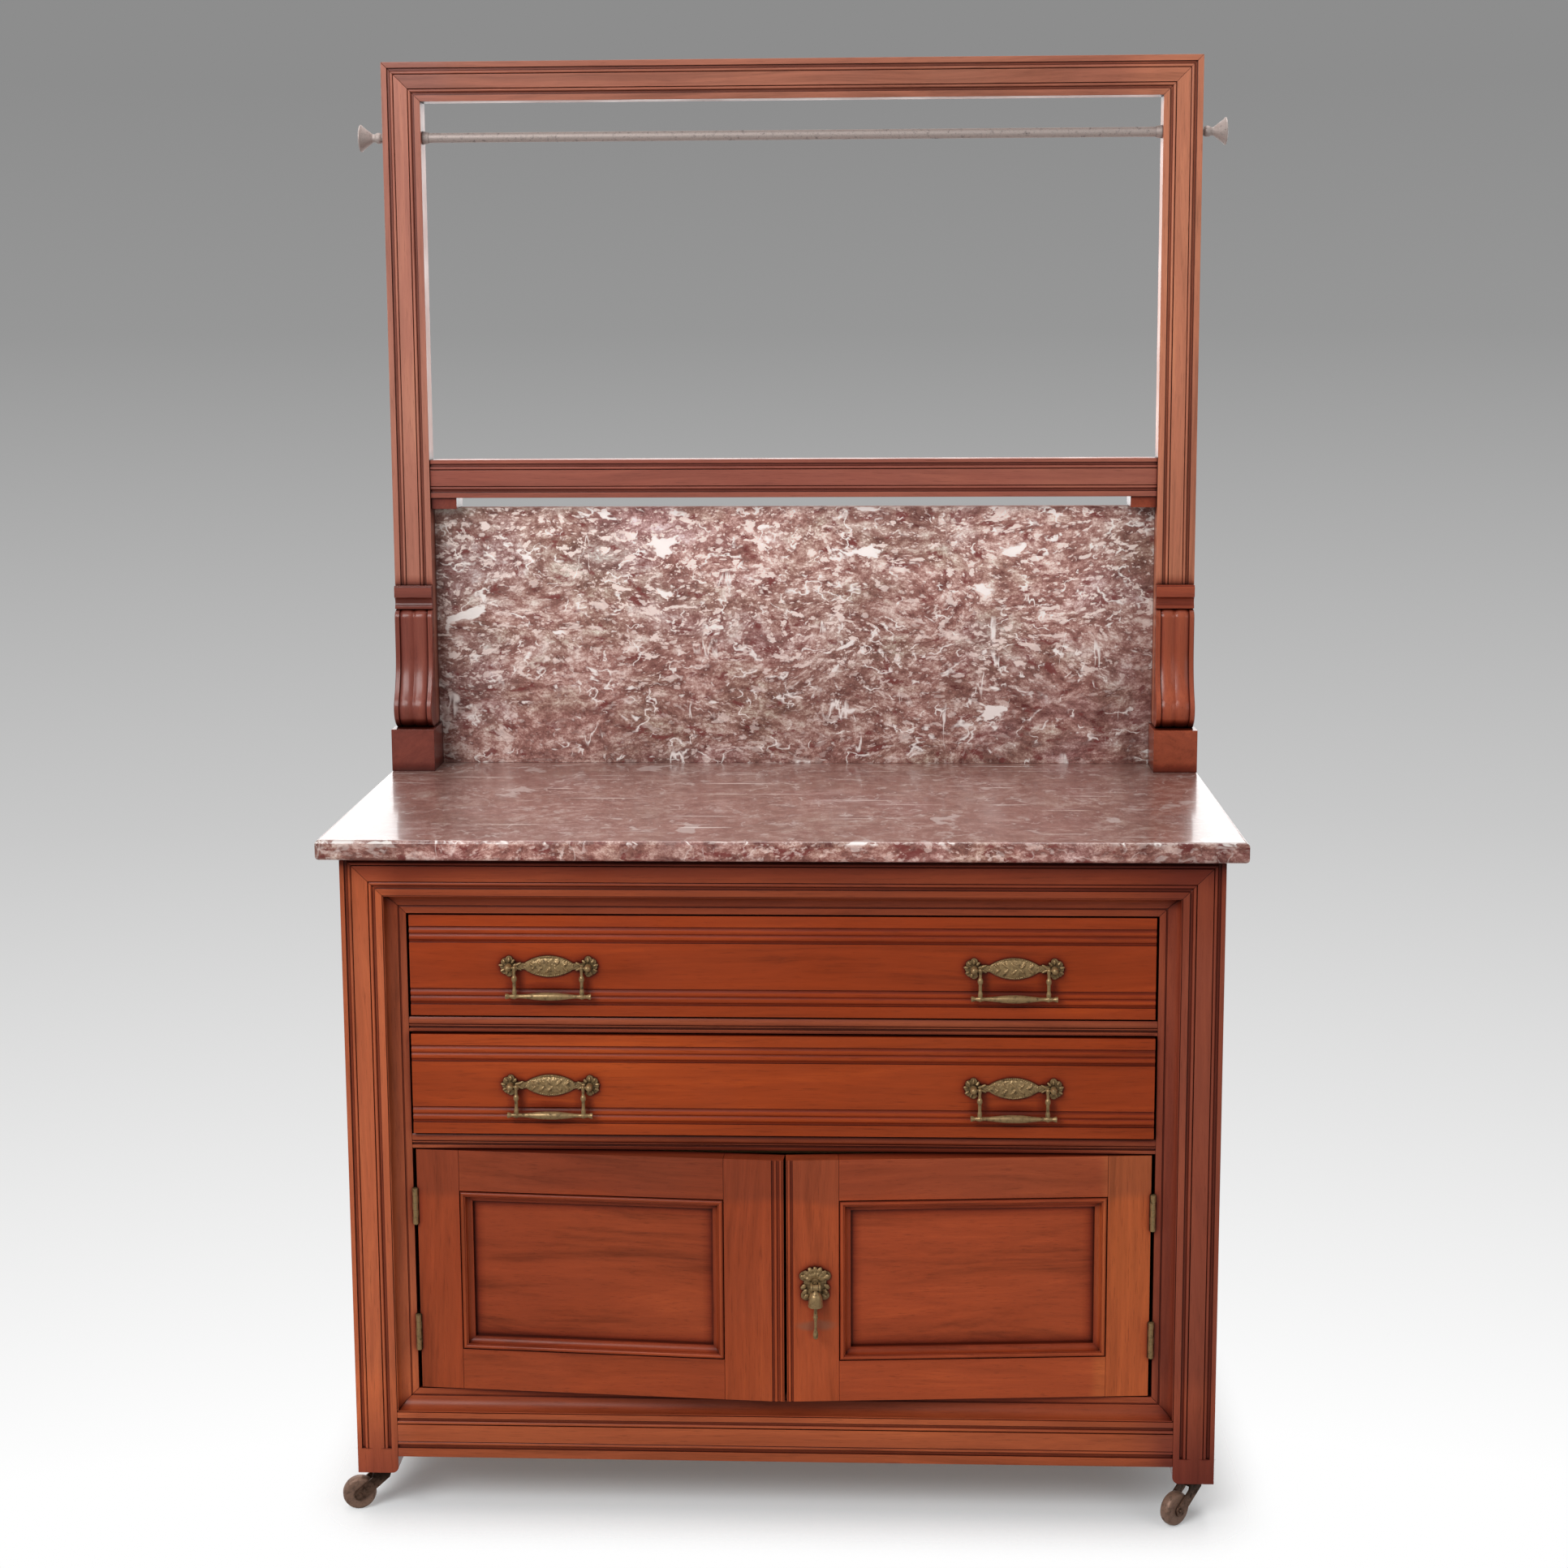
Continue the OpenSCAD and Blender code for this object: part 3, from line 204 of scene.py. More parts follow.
class Shader:
    """A shader being laid out: adds nodes by kind and joins them by socket name or number."""

    def __init__(self, tree):
        self.tree = tree

    def add(self, kind, sockets, out=0, **settings):
        node = self.tree.nodes.new("ShaderNode" + kind)
        for name, value in settings.items():
            setattr(node, name, value)
        self.feed(node, sockets)
        return node.outputs[out]

    def feed(self, node, sockets):
        for name, value in sockets.items():
            socket = node.inputs[name]
            if isinstance(value, bpy.types.NodeSocket):
                self.tree.links.new(value, socket)
            elif socket.type == "RGBA":
                socket.default_value = (*value, 1)
            else:
                socket.default_value = value

    def place(self):
        """Where the point lies, on the piece's own axes."""
        return self.add("TexCoord", {}, "Object")

    def along(self, vector, axis):
        return self.add("SeparateXYZ", {0: vector}, axis)

    def math(self, operation, *values):
        return self.add("Math", dict(enumerate(values)), operation=operation)

    def product(self, first, *others):
        for other in others:
            first = self.math("MULTIPLY", first, other)
        return first

    def vector(self, operation, *values, out=0):
        return self.add("VectorMath", dict(enumerate(values)), out, operation=operation)

    def stretch(self, vector, factors):
        return self.vector("MULTIPLY", vector, factors)

    def moved(self, vector, by, turn=(0.0, 0.0, 0.0)):
        return self.add("Mapping", {"Vector": vector, "Location": by, "Rotation": turn})

    def cloud(self, vector, scale, detail=2.0, roughness=0.5, out=0):
        sockets = {"Vector": vector, "Scale": scale, "Detail": detail, "Roughness": roughness}
        return self.add("TexNoise", sockets, out)

    def shifted(self, vector, scale, reach):
        """The vector, pushed about by a cloud of that scale, by up to that reach."""
        push = self.vector("SUBTRACT", self.cloud(vector, scale, out=1), (0.5, 0.5, 0.5))
        return self.vector("MULTIPLY_ADD", push, (2 * reach,) * 3, vector)

    def between(self, value, low, high, start=0.0, end=1.0):
        """value, eased from start at low to end at high."""
        sockets = {"Value": value, 1: low, 2: high, 3: start, 4: end}
        return self.add("MapRange", sockets, interpolation_type="SMOOTHSTEP")

    def mix(self, share, first, second, blend="MIX"):
        return self.add("Mix", {0: share, 6: first, 7: second}, 2, data_type="RGBA", blend_type=blend)

    def tinted(self, share, base, tint):
        """The base colour, and as much as share says of it multiplied by the tint."""
        return self.mix(share, base, self.mix(1.0, base, tint, "MULTIPLY"))

    def ramp(self, value, *stops):
        """A colour ramp of (place, colour) stops."""
        node = self.tree.nodes.new("ShaderNodeValToRGB")
        self.feed(node, {0: value})
        steps = node.color_ramp.elements
        while len(steps) < len(stops):
            steps.new(0.5)
        for step, (place, shade) in zip(steps, stops):
            step.position = place
            step.color = (*shade, 1)
        return node.outputs[0]

    def occlusion(self, reach, samples=8):
        """1 in the open and 0 deep in a groove, as far as reach tells."""
        return self.add("AmbientOcclusion", {"Distance": reach}, "AO", samples=samples)

    def bump(self, height, depth, strength=1.0):
        return self.add("Bump", {"Height": height, "Distance": depth, "Strength": strength})


class Finish(Shader):
    """A finish being mixed, as a material of that name."""

    def __init__(self, name):
        self.made = bpy.data.materials.new(name)
        self.made.use_nodes = True
        super().__init__(self.made.node_tree)
        self.surface = self.tree.nodes["Principled BSDF"]

    def finish(self, **sockets):
        self.feed(self.surface, {name.replace("_", " "): value for name, value in sockets.items()})
        return self.made


def times(shade, factor):
    return tuple(min(1.0, c * factor) for c in shade)


def toned(shade, factors):
    return tuple(c * factor for c, factor in zip(shade, factors))


def mahogany(name, shade, grime_and_shade, gloss, figure=1.0, tints=(), feet=None, scuff=None):
    """Polished mahogany, its grain laid by the attribute that holds the place along and across each board.

    Each of tints is an axis, the places on it where the tint starts and is full, and the tint. feet is
    the tint of the legs' lower ends. scuff is a place that the drop of the pull has rubbed dull.
    """
    f = Finish(name)
    board = f.add("Attribute", {}, "Vector", attribute_name="grain")
    arris = f.add("Attribute", {}, "Fac", attribute_name="arris")
    place = f.place()

    wander = f.shifted(f.stretch(board, (1.5, 9.0, 9.0)), 1.0, 0.35)
    ribbon = f.cloud(f.stretch(wander, (0.8, 1.6, 1.6)), 1.0, 3.0, 0.55)
    streak = f.cloud(f.stretch(wander, (3.0, 14.0, 14.0)), 1.0, 6.0, 0.7)
    fibre = f.cloud(f.stretch(board, (35.0, 900.0, 900.0)), 1.0, 2.0, 0.6)
    patch = f.cloud(board, 5.0, 2.0)
    broad_patch = f.cloud(board, 0.9, 0.0)
    wood = f.ramp(
        f.math("MULTIPLY_ADD", streak, 0.45, f.product(ribbon, 0.55)),
        (0.34, times(shade, 0.66 - 0.1 * figure)),
        (0.46, times(shade, 0.93)),
        (0.54, times(shade, 1.07)),
        (0.66, toned(times(shade, 1.32), (1.0, 1.06, 1.0))),
    )
    wood = f.tinted(f.between(broad_patch, 0.36, 0.64, 0.0, 0.7), wood, (1.16, 1.32, 1.3))
    wood = f.tinted(f.between(patch, 0.42, 0.68, 0.0, 0.35), wood, (1.12, 1.25, 1.2))
    if scuff:
        off = f.vector("SUBTRACT", f.shifted(place, 60.0, 4 * MM), scuff)
        off = f.vector("LENGTH", f.stretch(off, (36.0, 6.0, 130.0)), out="Value")
        wood = f.mix(f.between(off, 0.4, 1.1, 0.5, 0.0), wood, (0.24, 0.13, 0.08))

    def towards(axis, start, end):
        """0 before start and 1 past end, by a ragged edge."""
        ragged = f.math("MULTIPLY_ADD", f.math("SUBTRACT", patch, 0.5), 50 * MM, f.along(place, axis))
        return f.between(ragged, start, end)

    for axis, start, end, tint in tints:
        wood = f.tinted(towards(axis, start, end), wood, tint)
    if feet:
        on_legs = f.between(f.math("ABSOLUTE", f.along(place, "X")), *ONLY_LEGS)
        wood = f.tinted(f.product(towards(*FEET), on_legs), wood, feet)

    pore = f.between(fibre, 0.30, 0.42, 0.35, 0.0)
    wood = f.mix(pore, wood, times(shade, 0.3))
    # Lighter arrises: the polish is worn there, and the same line paints a highlight along the edges.
    worn = f.product(arris, f.between(f.cloud(board, 22.0, 3.0), 0.35, 0.6, 0.1, 0.55))
    wood = f.mix(worn, wood, tuple(min(1.0, c * 1.6 + 0.03) for c in shade))

    # Painted shade darkens the inner corners over 70 mm and the mouldings over 14 mm, and the grooves fill
    # with old polish and their painted shade.
    near = f.occlusion(14 * MM)
    wood = f.tinted(f.between(f.occlusion(70 * MM), 0.3, 0.9, 0.55, 0.0), wood, (0.5, 0.36, 0.3))
    wood = f.tinted(f.between(near, 0.84, 0.995, 0.9, 0.0), wood, (0.70, 0.50, 0.46))
    groove = f.between(f.occlusion(5 * MM), 0.4, 0.97, 0.95, 0.0)
    wood = f.mix(f.math("MAXIMUM", groove, f.between(near, 0.45, 0.985, 0.72, 0.0)), wood, grime_and_shade)

    return f.finish(
        Base_Color=wood,
        Roughness=f.between(f.cloud(board, 12.0, 3.0), 0.3, 0.7, 0.34, 0.46),
        Specular_IOR_Level=0.22,
        Coat_Weight=gloss,
        Coat_Roughness=0.36 - 0.5 * gloss,
        Normal=f.bump(f.math("MULTIPLY_ADD", pore, -0.6, f.product(streak, 0.4)), 0.25 * MM, 0.35),
    )


def pine(name, shade):
    """Unpolished pine, dusty, with wide growth lines, and painted shade in its inner corners."""
    f = Finish(name)
    board = f.add("Attribute", {}, "Vector", attribute_name="grain")
    wander = f.shifted(f.stretch(board, (1.2, 14.0, 14.0)), 1.0, 0.3)
    lines = f.cloud(f.stretch(wander, (1.0, 5.0, 5.0)), 1.0, 5.0, 0.65)
    dust = f.cloud(board, 9.0, 4.0, 0.6)
    wood = f.ramp(lines, (0.3, times(shade, 0.55)), (0.5, times(shade, 0.95)), (0.7, times(shade, 1.15)))
    wood = f.mix(f.between(dust, 0.45, 0.7, 0.0, 0.4), wood, times(shade, 0.62))
    # Painted shade darkens the inner corners over 25 mm.
    wood = f.mix(f.between(f.occlusion(25 * MM), 0.2, 0.9, 0.6, 0.0), wood, times(shade, 0.2))
    return f.finish(Base_Color=wood, Roughness=0.72, Normal=f.bump(lines, 0.4 * MM, 0.4))


def stone_mass(f, stone, place, flow, calm):
    """The mottled mass of the stone, with drifts of other browns and dark red spots."""
    mottle = f.math("SUBTRACT", f.cloud(flow, 34.0, 9.0, 0.76), 0.12)
    mottle = f.math("MULTIPLY_ADD", f.cloud(place, 420.0, 3.0, 0.7), 0.24, mottle)
    marble = f.ramp(
        f.math("MULTIPLY_ADD", calm, -0.03, mottle),
        (0.32, times(stone.rust, 0.7)),
        (0.40, times(stone.ground, 0.7)),
        (0.47, stone.ground),
        (0.55, stone.haze),
        (0.66, stone.fleck),
    )
    for scale, start, most, tint in (
        (4.0, 0.42, 0.7, (0.78, 0.83, 0.80)),
        (9.0, 0.46, 0.7, (0.92, 1.06, 0.98)),
        (7.0, 0.50, 0.6, (0.93, 0.95, 1.1)),
    ):
        drift = f.cloud(f.moved(flow, (scale, 0.0, scale)), scale, 3.0)
        marble = f.tinted(f.between(drift, start, start + 0.2, 0.0, most), marble, tint)
    rust = f.between(f.cloud(flow, 40.0, 4.0, 0.6), 0.58, 0.66, 0.0, 0.85)
    return f.mix(rust, marble, stone.rust)


def shells(f, stone, marble, flow, crowd):
    """Pale lumps in three sizes and broken shells in two, as crowded as crowd says."""
    for scale, start, most in ((26.0, 0.62, 0.9), (52.0, 0.58, 0.95), (120.0, 0.60, 0.8)):
        lump = f.cloud(f.moved(flow, (scale, 0.0, 0.0)), scale, 4.0, 0.58)
        marble = f.mix(f.product(f.between(lump, start, start + 0.05), crowd, most), marble, stone.fleck)
    for finer, most in ((1.6, 0.7), (3.2, 0.8)):
        lean = f.moved(flow, (finer,) * 3, (0.0, 0.5 - 0.3 * finer, 0.0))
        sockets = {"Vector": f.shifted(lean, 70.0, 6 * MM), "Scale": finer / stone.fleck_size}
        away = f.add("TexVoronoi", sockets, "Distance")
        lot = f.add("SeparateColor", {0: f.add("TexVoronoi", sockets, "Color")})
        ragged = f.math("MULTIPLY_ADD", f.cloud(flow, 95.0, 5.0, 0.7), 0.9, away)
        inside = f.between(f.math("SUBTRACT", f.between(lot, 0.45, 1.0, 0.30, 0.86), ragged), -0.02, 0.12)
        marble = f.mix(f.product(inside, crowd, most), marble, stone.fleck)
    return marble


def veins(f, stone, marble, place, flow, strength):
    """White veins of three breadths that come and go, and a few white blots."""
    for grain, scale, breadth, start in (
        ((1.0, 1.0, 1.5), 17.0, 0.022, 0.54),
        ((1.0, 1.0, 1.3), 31.0, 0.03, 0.56),
        ((1.6, 1.0, 0.4), 11.0, 0.012, 0.58),
    ):
        fold = f.cloud(f.shifted(f.stretch(place, grain), 60.0, 10 * MM), scale)
        line = f.between(f.math("ABSOLUTE", f.math("SUBTRACT", fold, 0.5)), 0.0, breadth, 0.9, 0.0)
        open_here = f.between(f.cloud(place, 1.3 * scale, 3.0), start, start + 0.06)
        marble = f.mix(f.product(line, open_here, strength), marble, stone.vein)
    blot = f.cloud(f.shifted(flow, 24.0, 20 * MM), 13.0, 4.0, 0.55)
    return f.mix(f.product(f.between(blot, 0.64, 0.67, 0.0, 0.95), strength), marble, stone.vein)


def rouge_marble(name, stone):
    """Brown-red shelly marble in flat beds, with pale shells crowded in the upper ones.

    The faces that look up are worn to an even brown, apart from the splashback's upper edge, which was
    left as it was sawn.
    """
    f = Finish(name)
    place = f.place()
    x, z = (f.along(place, axis) for axis in ("X", "Z"))

    def up_from(value, low, high, start=0.0, end=1.0):
        """value, eased from start to end between two heights above the case."""
        return f.between(value, CASE_TOP + low, CASE_TOP + high, start, end)

    bed = f.math("MULTIPLY_ADD", f.cloud(place, 6.0, 3.0), 0.16, z)
    calm = up_from(bed, 0.19, 0.25, 1.0, 0.0)
    flow = f.shifted(f.stretch(place, (1.0, 1.0, 1.75)), 7.0, 35 * MM)
    crowd = f.between(f.cloud(place, 5.0, 3.0), 0.30, 0.62, 0.45, 1.0)
    marble = stone_mass(f, stone, place, flow, calm)
    marble = shells(f, stone, marble, flow, f.math("SUBTRACT", crowd, f.product(calm, 0.42)))
    marble = veins(f, stone, marble, place, flow, up_from(z, 20 * MM, 21 * MM, 0.4, 1.0))
    # The upper beds are paler, partly as stone and partly as a painted sheen of the light that the
    # splashback's polish gives back.
    marble = f.tinted(up_from(bed, 0.20, 0.40), marble, (1.22, 1.26, 1.26))

    looks_up = f.between(f.along(f.add("NewGeometry", {}, "Normal"), "Z"), 0.8, 0.95)
    marble = f.mix(f.product(looks_up, 0.62), marble, stone.worn)
    dash = f.cloud(f.stretch(f.shifted(place, 4.0, 10 * MM), (6.0, 120.0, 1.0)), 1.0, 3.0)
    marble = f.mix(f.product(looks_up, f.between(dash, 0.66, 0.72, 0.0, 0.75)), marble, stone.vein)

    # The splashback is darker towards its foot, and painted shade with a painted reflection of the uprights
    # darkens both ends of the top and the splashback.
    low = f.product(up_from(bed, 0.06, 0.24, 0.2, 0.0), up_from(z, 20 * MM, 30 * MM))
    ends = f.between(f.math("ABSOLUTE", x), 0.36, 0.47, 0.0, 0.5)
    marble = f.tinted(f.math("MAXIMUM", low, ends), marble, (0.46, 0.47, 0.46))
    marble = f.tinted(up_from(z, 20 * MM, 21 * MM, 1.0, 0.0), marble, (1.14, 1.03, 1.0))
    marble = f.tinted(up_from(z, 30 * MM, 31 * MM), marble, (1.1, 1.1, 1.11))

    sawn = f.product(looks_up, up_from(z, 0.1, 0.2))
    return f.finish(
        Base_Color=marble,
        Roughness=f.between(sawn, 0.0, 1.0, 0.3, 0.9),
        Specular_IOR_Level=f.between(sawn, 0.0, 1.0, 0.35, 0.0),
        Coat_Weight=f.between(sawn, 0.0, 1.0, 0.45, 0.0),
        Coat_Roughness=0.1,
        Normal=f.bump(f.cloud(place, 14.0, 2.0), 1.2 * MM, 0.25),
    )


def worn_metal(name, bright, tarnish, rough, spread=0.5, metallic=1.0, rubbed=None):
    """Cast or turned metal, rubbed bright on its high places and dull in its hollows.

    rubbed is the colour that a caster's horn has worn to beside the axle.
    """
    f = Finish(name)
    place = f.place()
    age = f.cloud(place, 160.0, 5.0, 0.65)
    spot = f.cloud(place, 700.0, 3.0, 0.6)
    hollow = f.between(f.occlusion(4 * MM), 0.35, 0.95, 0.9, 0.0)
    dull = f.math("MAXIMUM", hollow, f.between(age, 0.62 - 0.3 * spread, 0.75, 0.0, 0.85))
    if rubbed:
        bright = f.mix(f.between(f.along(place, "Z"), 28 * MM, 44 * MM, 1.0, 0.0), bright, rubbed)
    metal = f.mix(dull, bright, tarnish)
    metal = f.mix(f.between(spot, 0.55, 0.7, 0.0, 0.5), metal, times(tarnish, 0.7))
    return f.finish(
        Base_Color=metal,
        Metallic=metallic,
        Roughness=f.between(dull, 0.0, 1.0, rough, rough + 0.3),
        Normal=f.bump(f.math("ADD", age, spot), 0.12 * MM, 0.4),
    )


def finish_of(kind):
    """One of the washstand's finishes, mixed the first time that a piece asks for it."""
    name = kind + "_finish"
    if name in bpy.data.materials:
        return bpy.data.materials[name]
    scene = bpy.context.scene
    wood = scene.washstand_wood
    brass = scene.washstand_brass
    # Painted shade: the heads of the doors are darker, in the shade under the drawer rail.
    door_head = (*DOOR_HEAD, (0.78, 0.83, 1.0))
    if kind == "case_wood":
        # Painted light and shade: the left leg is lighter and the right leg darker as the light falls on them,
        # the bottom rail is lighter, and the top of the case is darker in the shade under the marble.
        tints = (
            (*LEFT_LEG, (1.53, 1.75, 1.75)),
            (*RIGHT_LEG, (0.79, 0.78, 1.04)),
            (*BOTTOM_RAIL, (1.2, 1.17, 1.06)),
            (*DRAWER_LEVEL, (0.88, 0.78, 0.7)),
            (*UNDER_MARBLE, (0.66, 0.52, 0.56)),
        )
        return mahogany(name, wood.case, wood.grime_and_shade, wood.gloss, tints=tints, feet=(0.52, 0.44, 0.62))
    if kind == "drawer_wood":
        return mahogany(name, wood.drawers, wood.grime_and_shade, wood.gloss)
    if kind == "gallery_wood":
        # Painted light: the right upright is lighter and the left one a little cooler, as the light falls on
        # them.
        tints = ((*LEFT_LEG, (0.98, 1.02, 1.15)), (*RIGHT_LEG, (1.28, 1.33, 1.24)))
        return mahogany(name, wood.gallery, wood.grime_and_shade, wood.gloss, 0.8, tints)
    if kind == "bracket_wood":
        tints = ((*LEFT_LEG, (0.8, 0.88, 1.0)), (*RIGHT_LEG, (1.3, 1.25, 0.95)))
        return mahogany(name, wood.plinths, wood.grime_and_shade, 3 * wood.gloss, 0.8, tints)
    if kind == "rail_wood":
        return mahogany(name, wood.rail, wood.grime_and_shade, wood.gloss, 0.8)
    if kind == "door_wood":
        return mahogany(name, wood.doors, wood.grime_and_shade, wood.gloss, tints=(door_head,))
    # Painted light: the right door is lighter than the left one, and its right stile lighter still, as the
    # light falls on them.
    if kind == "bleached_wood":
        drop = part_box("pull_drop")
        scuff = ((drop[0].x + drop[1].x) / 2, FACE_Y, drop[0].z + 12 * MM)
        tints = (door_head, (*RIGHT_STILE, (1.14, 1.4, 1.35)))
        return mahogany(name, times(wood.doors, 1.16), wood.grime_and_shade, wood.gloss, tints=tints, scuff=scuff)
    if kind == "inner_wood":
        return pine(name, wood.inside)
    if kind == "marble":
        return rouge_marble(name, scene.washstand_marble)
    if kind == "polished_brass":
        return worn_metal(name, brass.rod, times(brass.rod, 0.35), 0.55, 0.3, 0.35)
    if kind == "aged_brass":
        return worn_metal(name, brass.bright, brass.tarnish, 0.4, 0.45, 0.5)
    if kind == "hinge_brass":
        return worn_metal(name, times(brass.bright, 1.15), brass.tarnish, 0.35, 0.3, 0.6)
    if kind == "caster_metal":
        return worn_metal(name, brass.iron, times(brass.iron, 0.35), 0.45, 0.7, rubbed=brass.wheel)
    if kind == "caster_wheel":
        return worn_metal(name, brass.wheel, times(brass.wheel, 0.4), 0.5, 0.6, 0.35)
    raise RuntimeError(f"there is no finish called {kind}")


# ------------------------------------------------------------------ benchwork


def pick_only(piece):
    """Selects that piece and nothing else."""
    if bpy.context.object and bpy.context.object.mode != "OBJECT":
        bpy.ops.object.mode_set(mode="OBJECT")
    bpy.ops.object.select_all(action="DESELECT")
    piece.select_set(True)
    bpy.context.view_layer.objects.active = piece


def apply_modifiers(piece):
    pick_only(piece)
    for modifier in list(piece.modifiers):
        bpy.ops.object.modifier_apply(modifier=modifier.name)


def islands(mesh):
    """For each vertex, the number of the joined-up solid that it belongs to."""
    parent = list(range(len(mesh.vertices)))

    def root(v):
        while parent[v] != v:
            parent[v] = parent[parent[v]]
            v = parent[v]
        return v

    for edge in mesh.edges:
        a, b = (root(v) for v in edge.vertices)
        if a != b:
            parent[a] = b
    return [root(v) for v in range(len(parent))]


def lay_grain(piece, framed=0.0):
    """Gives each board its own run of grain, along its longest side.

    framed is the width of the moulding round a panel, which runs along its own side of the panel.
    """
    mesh = piece.data
    of_solid = islands(mesh)
    corners = {}
    for v in mesh.vertices:
        low, high = corners.setdefault(of_solid[v.index], (v.co.copy(), v.co.copy()))
        for axis in range(3):
            low[axis] = min(low[axis], v.co[axis])
            high[axis] = max(high[axis], v.co[axis])
    grain = mesh.attributes.new("grain", "FLOAT_VECTOR", "CORNER")
    chance = random.Random(piece.name)
    starts = {solid: Vector(chance.uniform(-9, 9) for _ in range(3)) for solid in sorted(corners)}
    for face in mesh.polygons:
        solid = of_solid[face.vertices[0]]
        low, high = corners[solid]
        sides = high - low
        along = max(range(3), key=lambda axis: sides[axis])
        if framed:
            away = face.center - (low + high) / 2
            out_x = sides.x / 2 - abs(away.x)
            out_z = sides.z / 2 - abs(away.z)
            on_moulding = min(out_x, out_z) < framed
            along = 2 if on_moulding and out_x < out_z else 0
        across = [axis for axis in range(3) if axis != along]
        for loop in face.loop_indices:
            place = mesh.vertices[mesh.loops[loop].vertex_index].co
            grain.data[loop].vector = starts[solid] + Vector(place[axis] for axis in (along, *across))


def mark_arrises(piece):
    """Turns the faces that the bevel made into an attribute, which the wood's wear and its painted highlight
    on the edges read.
    """
    mesh = piece.data
    arris = mesh.attributes.new("arris", "FLOAT", "CORNER")
    for face in mesh.polygons:
        if face.material_index:
            face.material_index = 0
            for loop in face.loop_indices:
                arris.data[loop].value = 1.0


def dressed(node, body, slot, arris=None, finish=None, framed=0.0):
    """Makes a worn, finished copy of a CAD node, which stands for the node.

    It is joined up, its edges are rounded by arris, and it is smoothed and grained. framed is the
    width of the moulding round a panel.
    """
    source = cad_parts[node]
    piece = bpy.data.objects.new(node + "_dressed", source.data.copy())
    bpy.context.scene.collection.objects.link(piece)
    piece.data.materials.clear()
    pick_only(piece)
    bpy.ops.object.mode_set(mode="EDIT")
    bpy.ops.mesh.select_all(action="SELECT")
    bpy.ops.mesh.customdata_custom_splitnormals_clear()
    bpy.ops.mesh.remove_doubles(threshold=WELD)
    bpy.ops.mesh.dissolve_limited(angle_limit=FLUSH)
    bpy.ops.object.mode_set(mode="OBJECT")
    if arris:
        bevel = piece.modifiers.new("Arris", "BEVEL")
        bevel.width = arris
        bevel.segments = 2
        bevel.limit_method = "ANGLE"
        bevel.angle_limit = EDGE_ANGLE
        bevel.use_clamp_overlap = False
        # The new faces take the second slot, by which mark_arrises knows them.
        bevel.material = 1
        piece.data.materials.append(None)
        piece.data.materials.append(None)
        apply_modifiers(piece)
        piece.data.materials.clear()
    mark_arrises(piece)
    lay_grain(piece, framed)
    bpy.ops.object.shade_smooth_by_angle(angle=EDGE_ANGLE)
    if framed:
        for face in piece.data.polygons:
            if face.area > BROAD_FACE:
                face.use_smooth = False
    piece.modifiers.new("Flats", "WEIGHTED_NORMAL").keep_sharp = True
    apply_modifiers(piece)
    piece.data.materials.append(finish_of(finish or slot))
    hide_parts(node)
    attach(piece, body)


def dome(middle, size, turn=(0.0, 0.0, 0.0)):
    """A solid swelling of those half sizes, to be cast together with others."""
    bpy.ops.object.select_all(action="DESELECT")
    bpy.ops.mesh.primitive_uv_sphere_add(
        segments=20, ring_count=12, radius=1.0, location=middle, rotation=turn, scale=size
    )
    return bpy.context.object


def cast(name, swellings, back, out, body, grit):
    """Melts the swellings into one rough casting that faces out, with its flat back through that point."""
    pick_only(swellings[0])
    for swelling in swellings:
        swelling.select_set(True)
    bpy.ops.object.join()
    piece = bpy.context.object
    piece.name = piece.data.name = name
    bpy.ops.object.transform_apply(location=True, rotation=True, scale=True)
    grain = bpy.data.textures.new(name + "_chasing", "VORONOI")
    grain.noise_scale = grit
    grain.noise_intensity = 1.0
    melt = piece.modifiers.new("Melt", "REMESH")
    melt.mode = "VOXEL"
    melt.voxel_size = 0.45 * MM
    chase = piece.modifiers.new("Chase", "DISPLACE")
    chase.texture = grain
    chase.texture_coords = "LOCAL"
    chase.mid_level = 0.6
    chase.strength = 1.0 * MM
    apply_modifiers(piece)
    bpy.ops.object.mode_set(mode="EDIT")
    bpy.ops.mesh.select_all(action="SELECT")
    bpy.ops.mesh.bisect(plane_co=back, plane_no=-out, use_fill=True, clear_outer=True)
    bpy.ops.object.mode_set(mode="OBJECT")
    thin = piece.modifiers.new("Thin", "DECIMATE")
    thin.ratio = 0.45
    apply_modifiers(piece)
    bpy.ops.object.shade_smooth()
    piece.data.materials.append(finish_of("aged_brass"))
    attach(piece, body)


# ------------------------------------------------------------------ operators


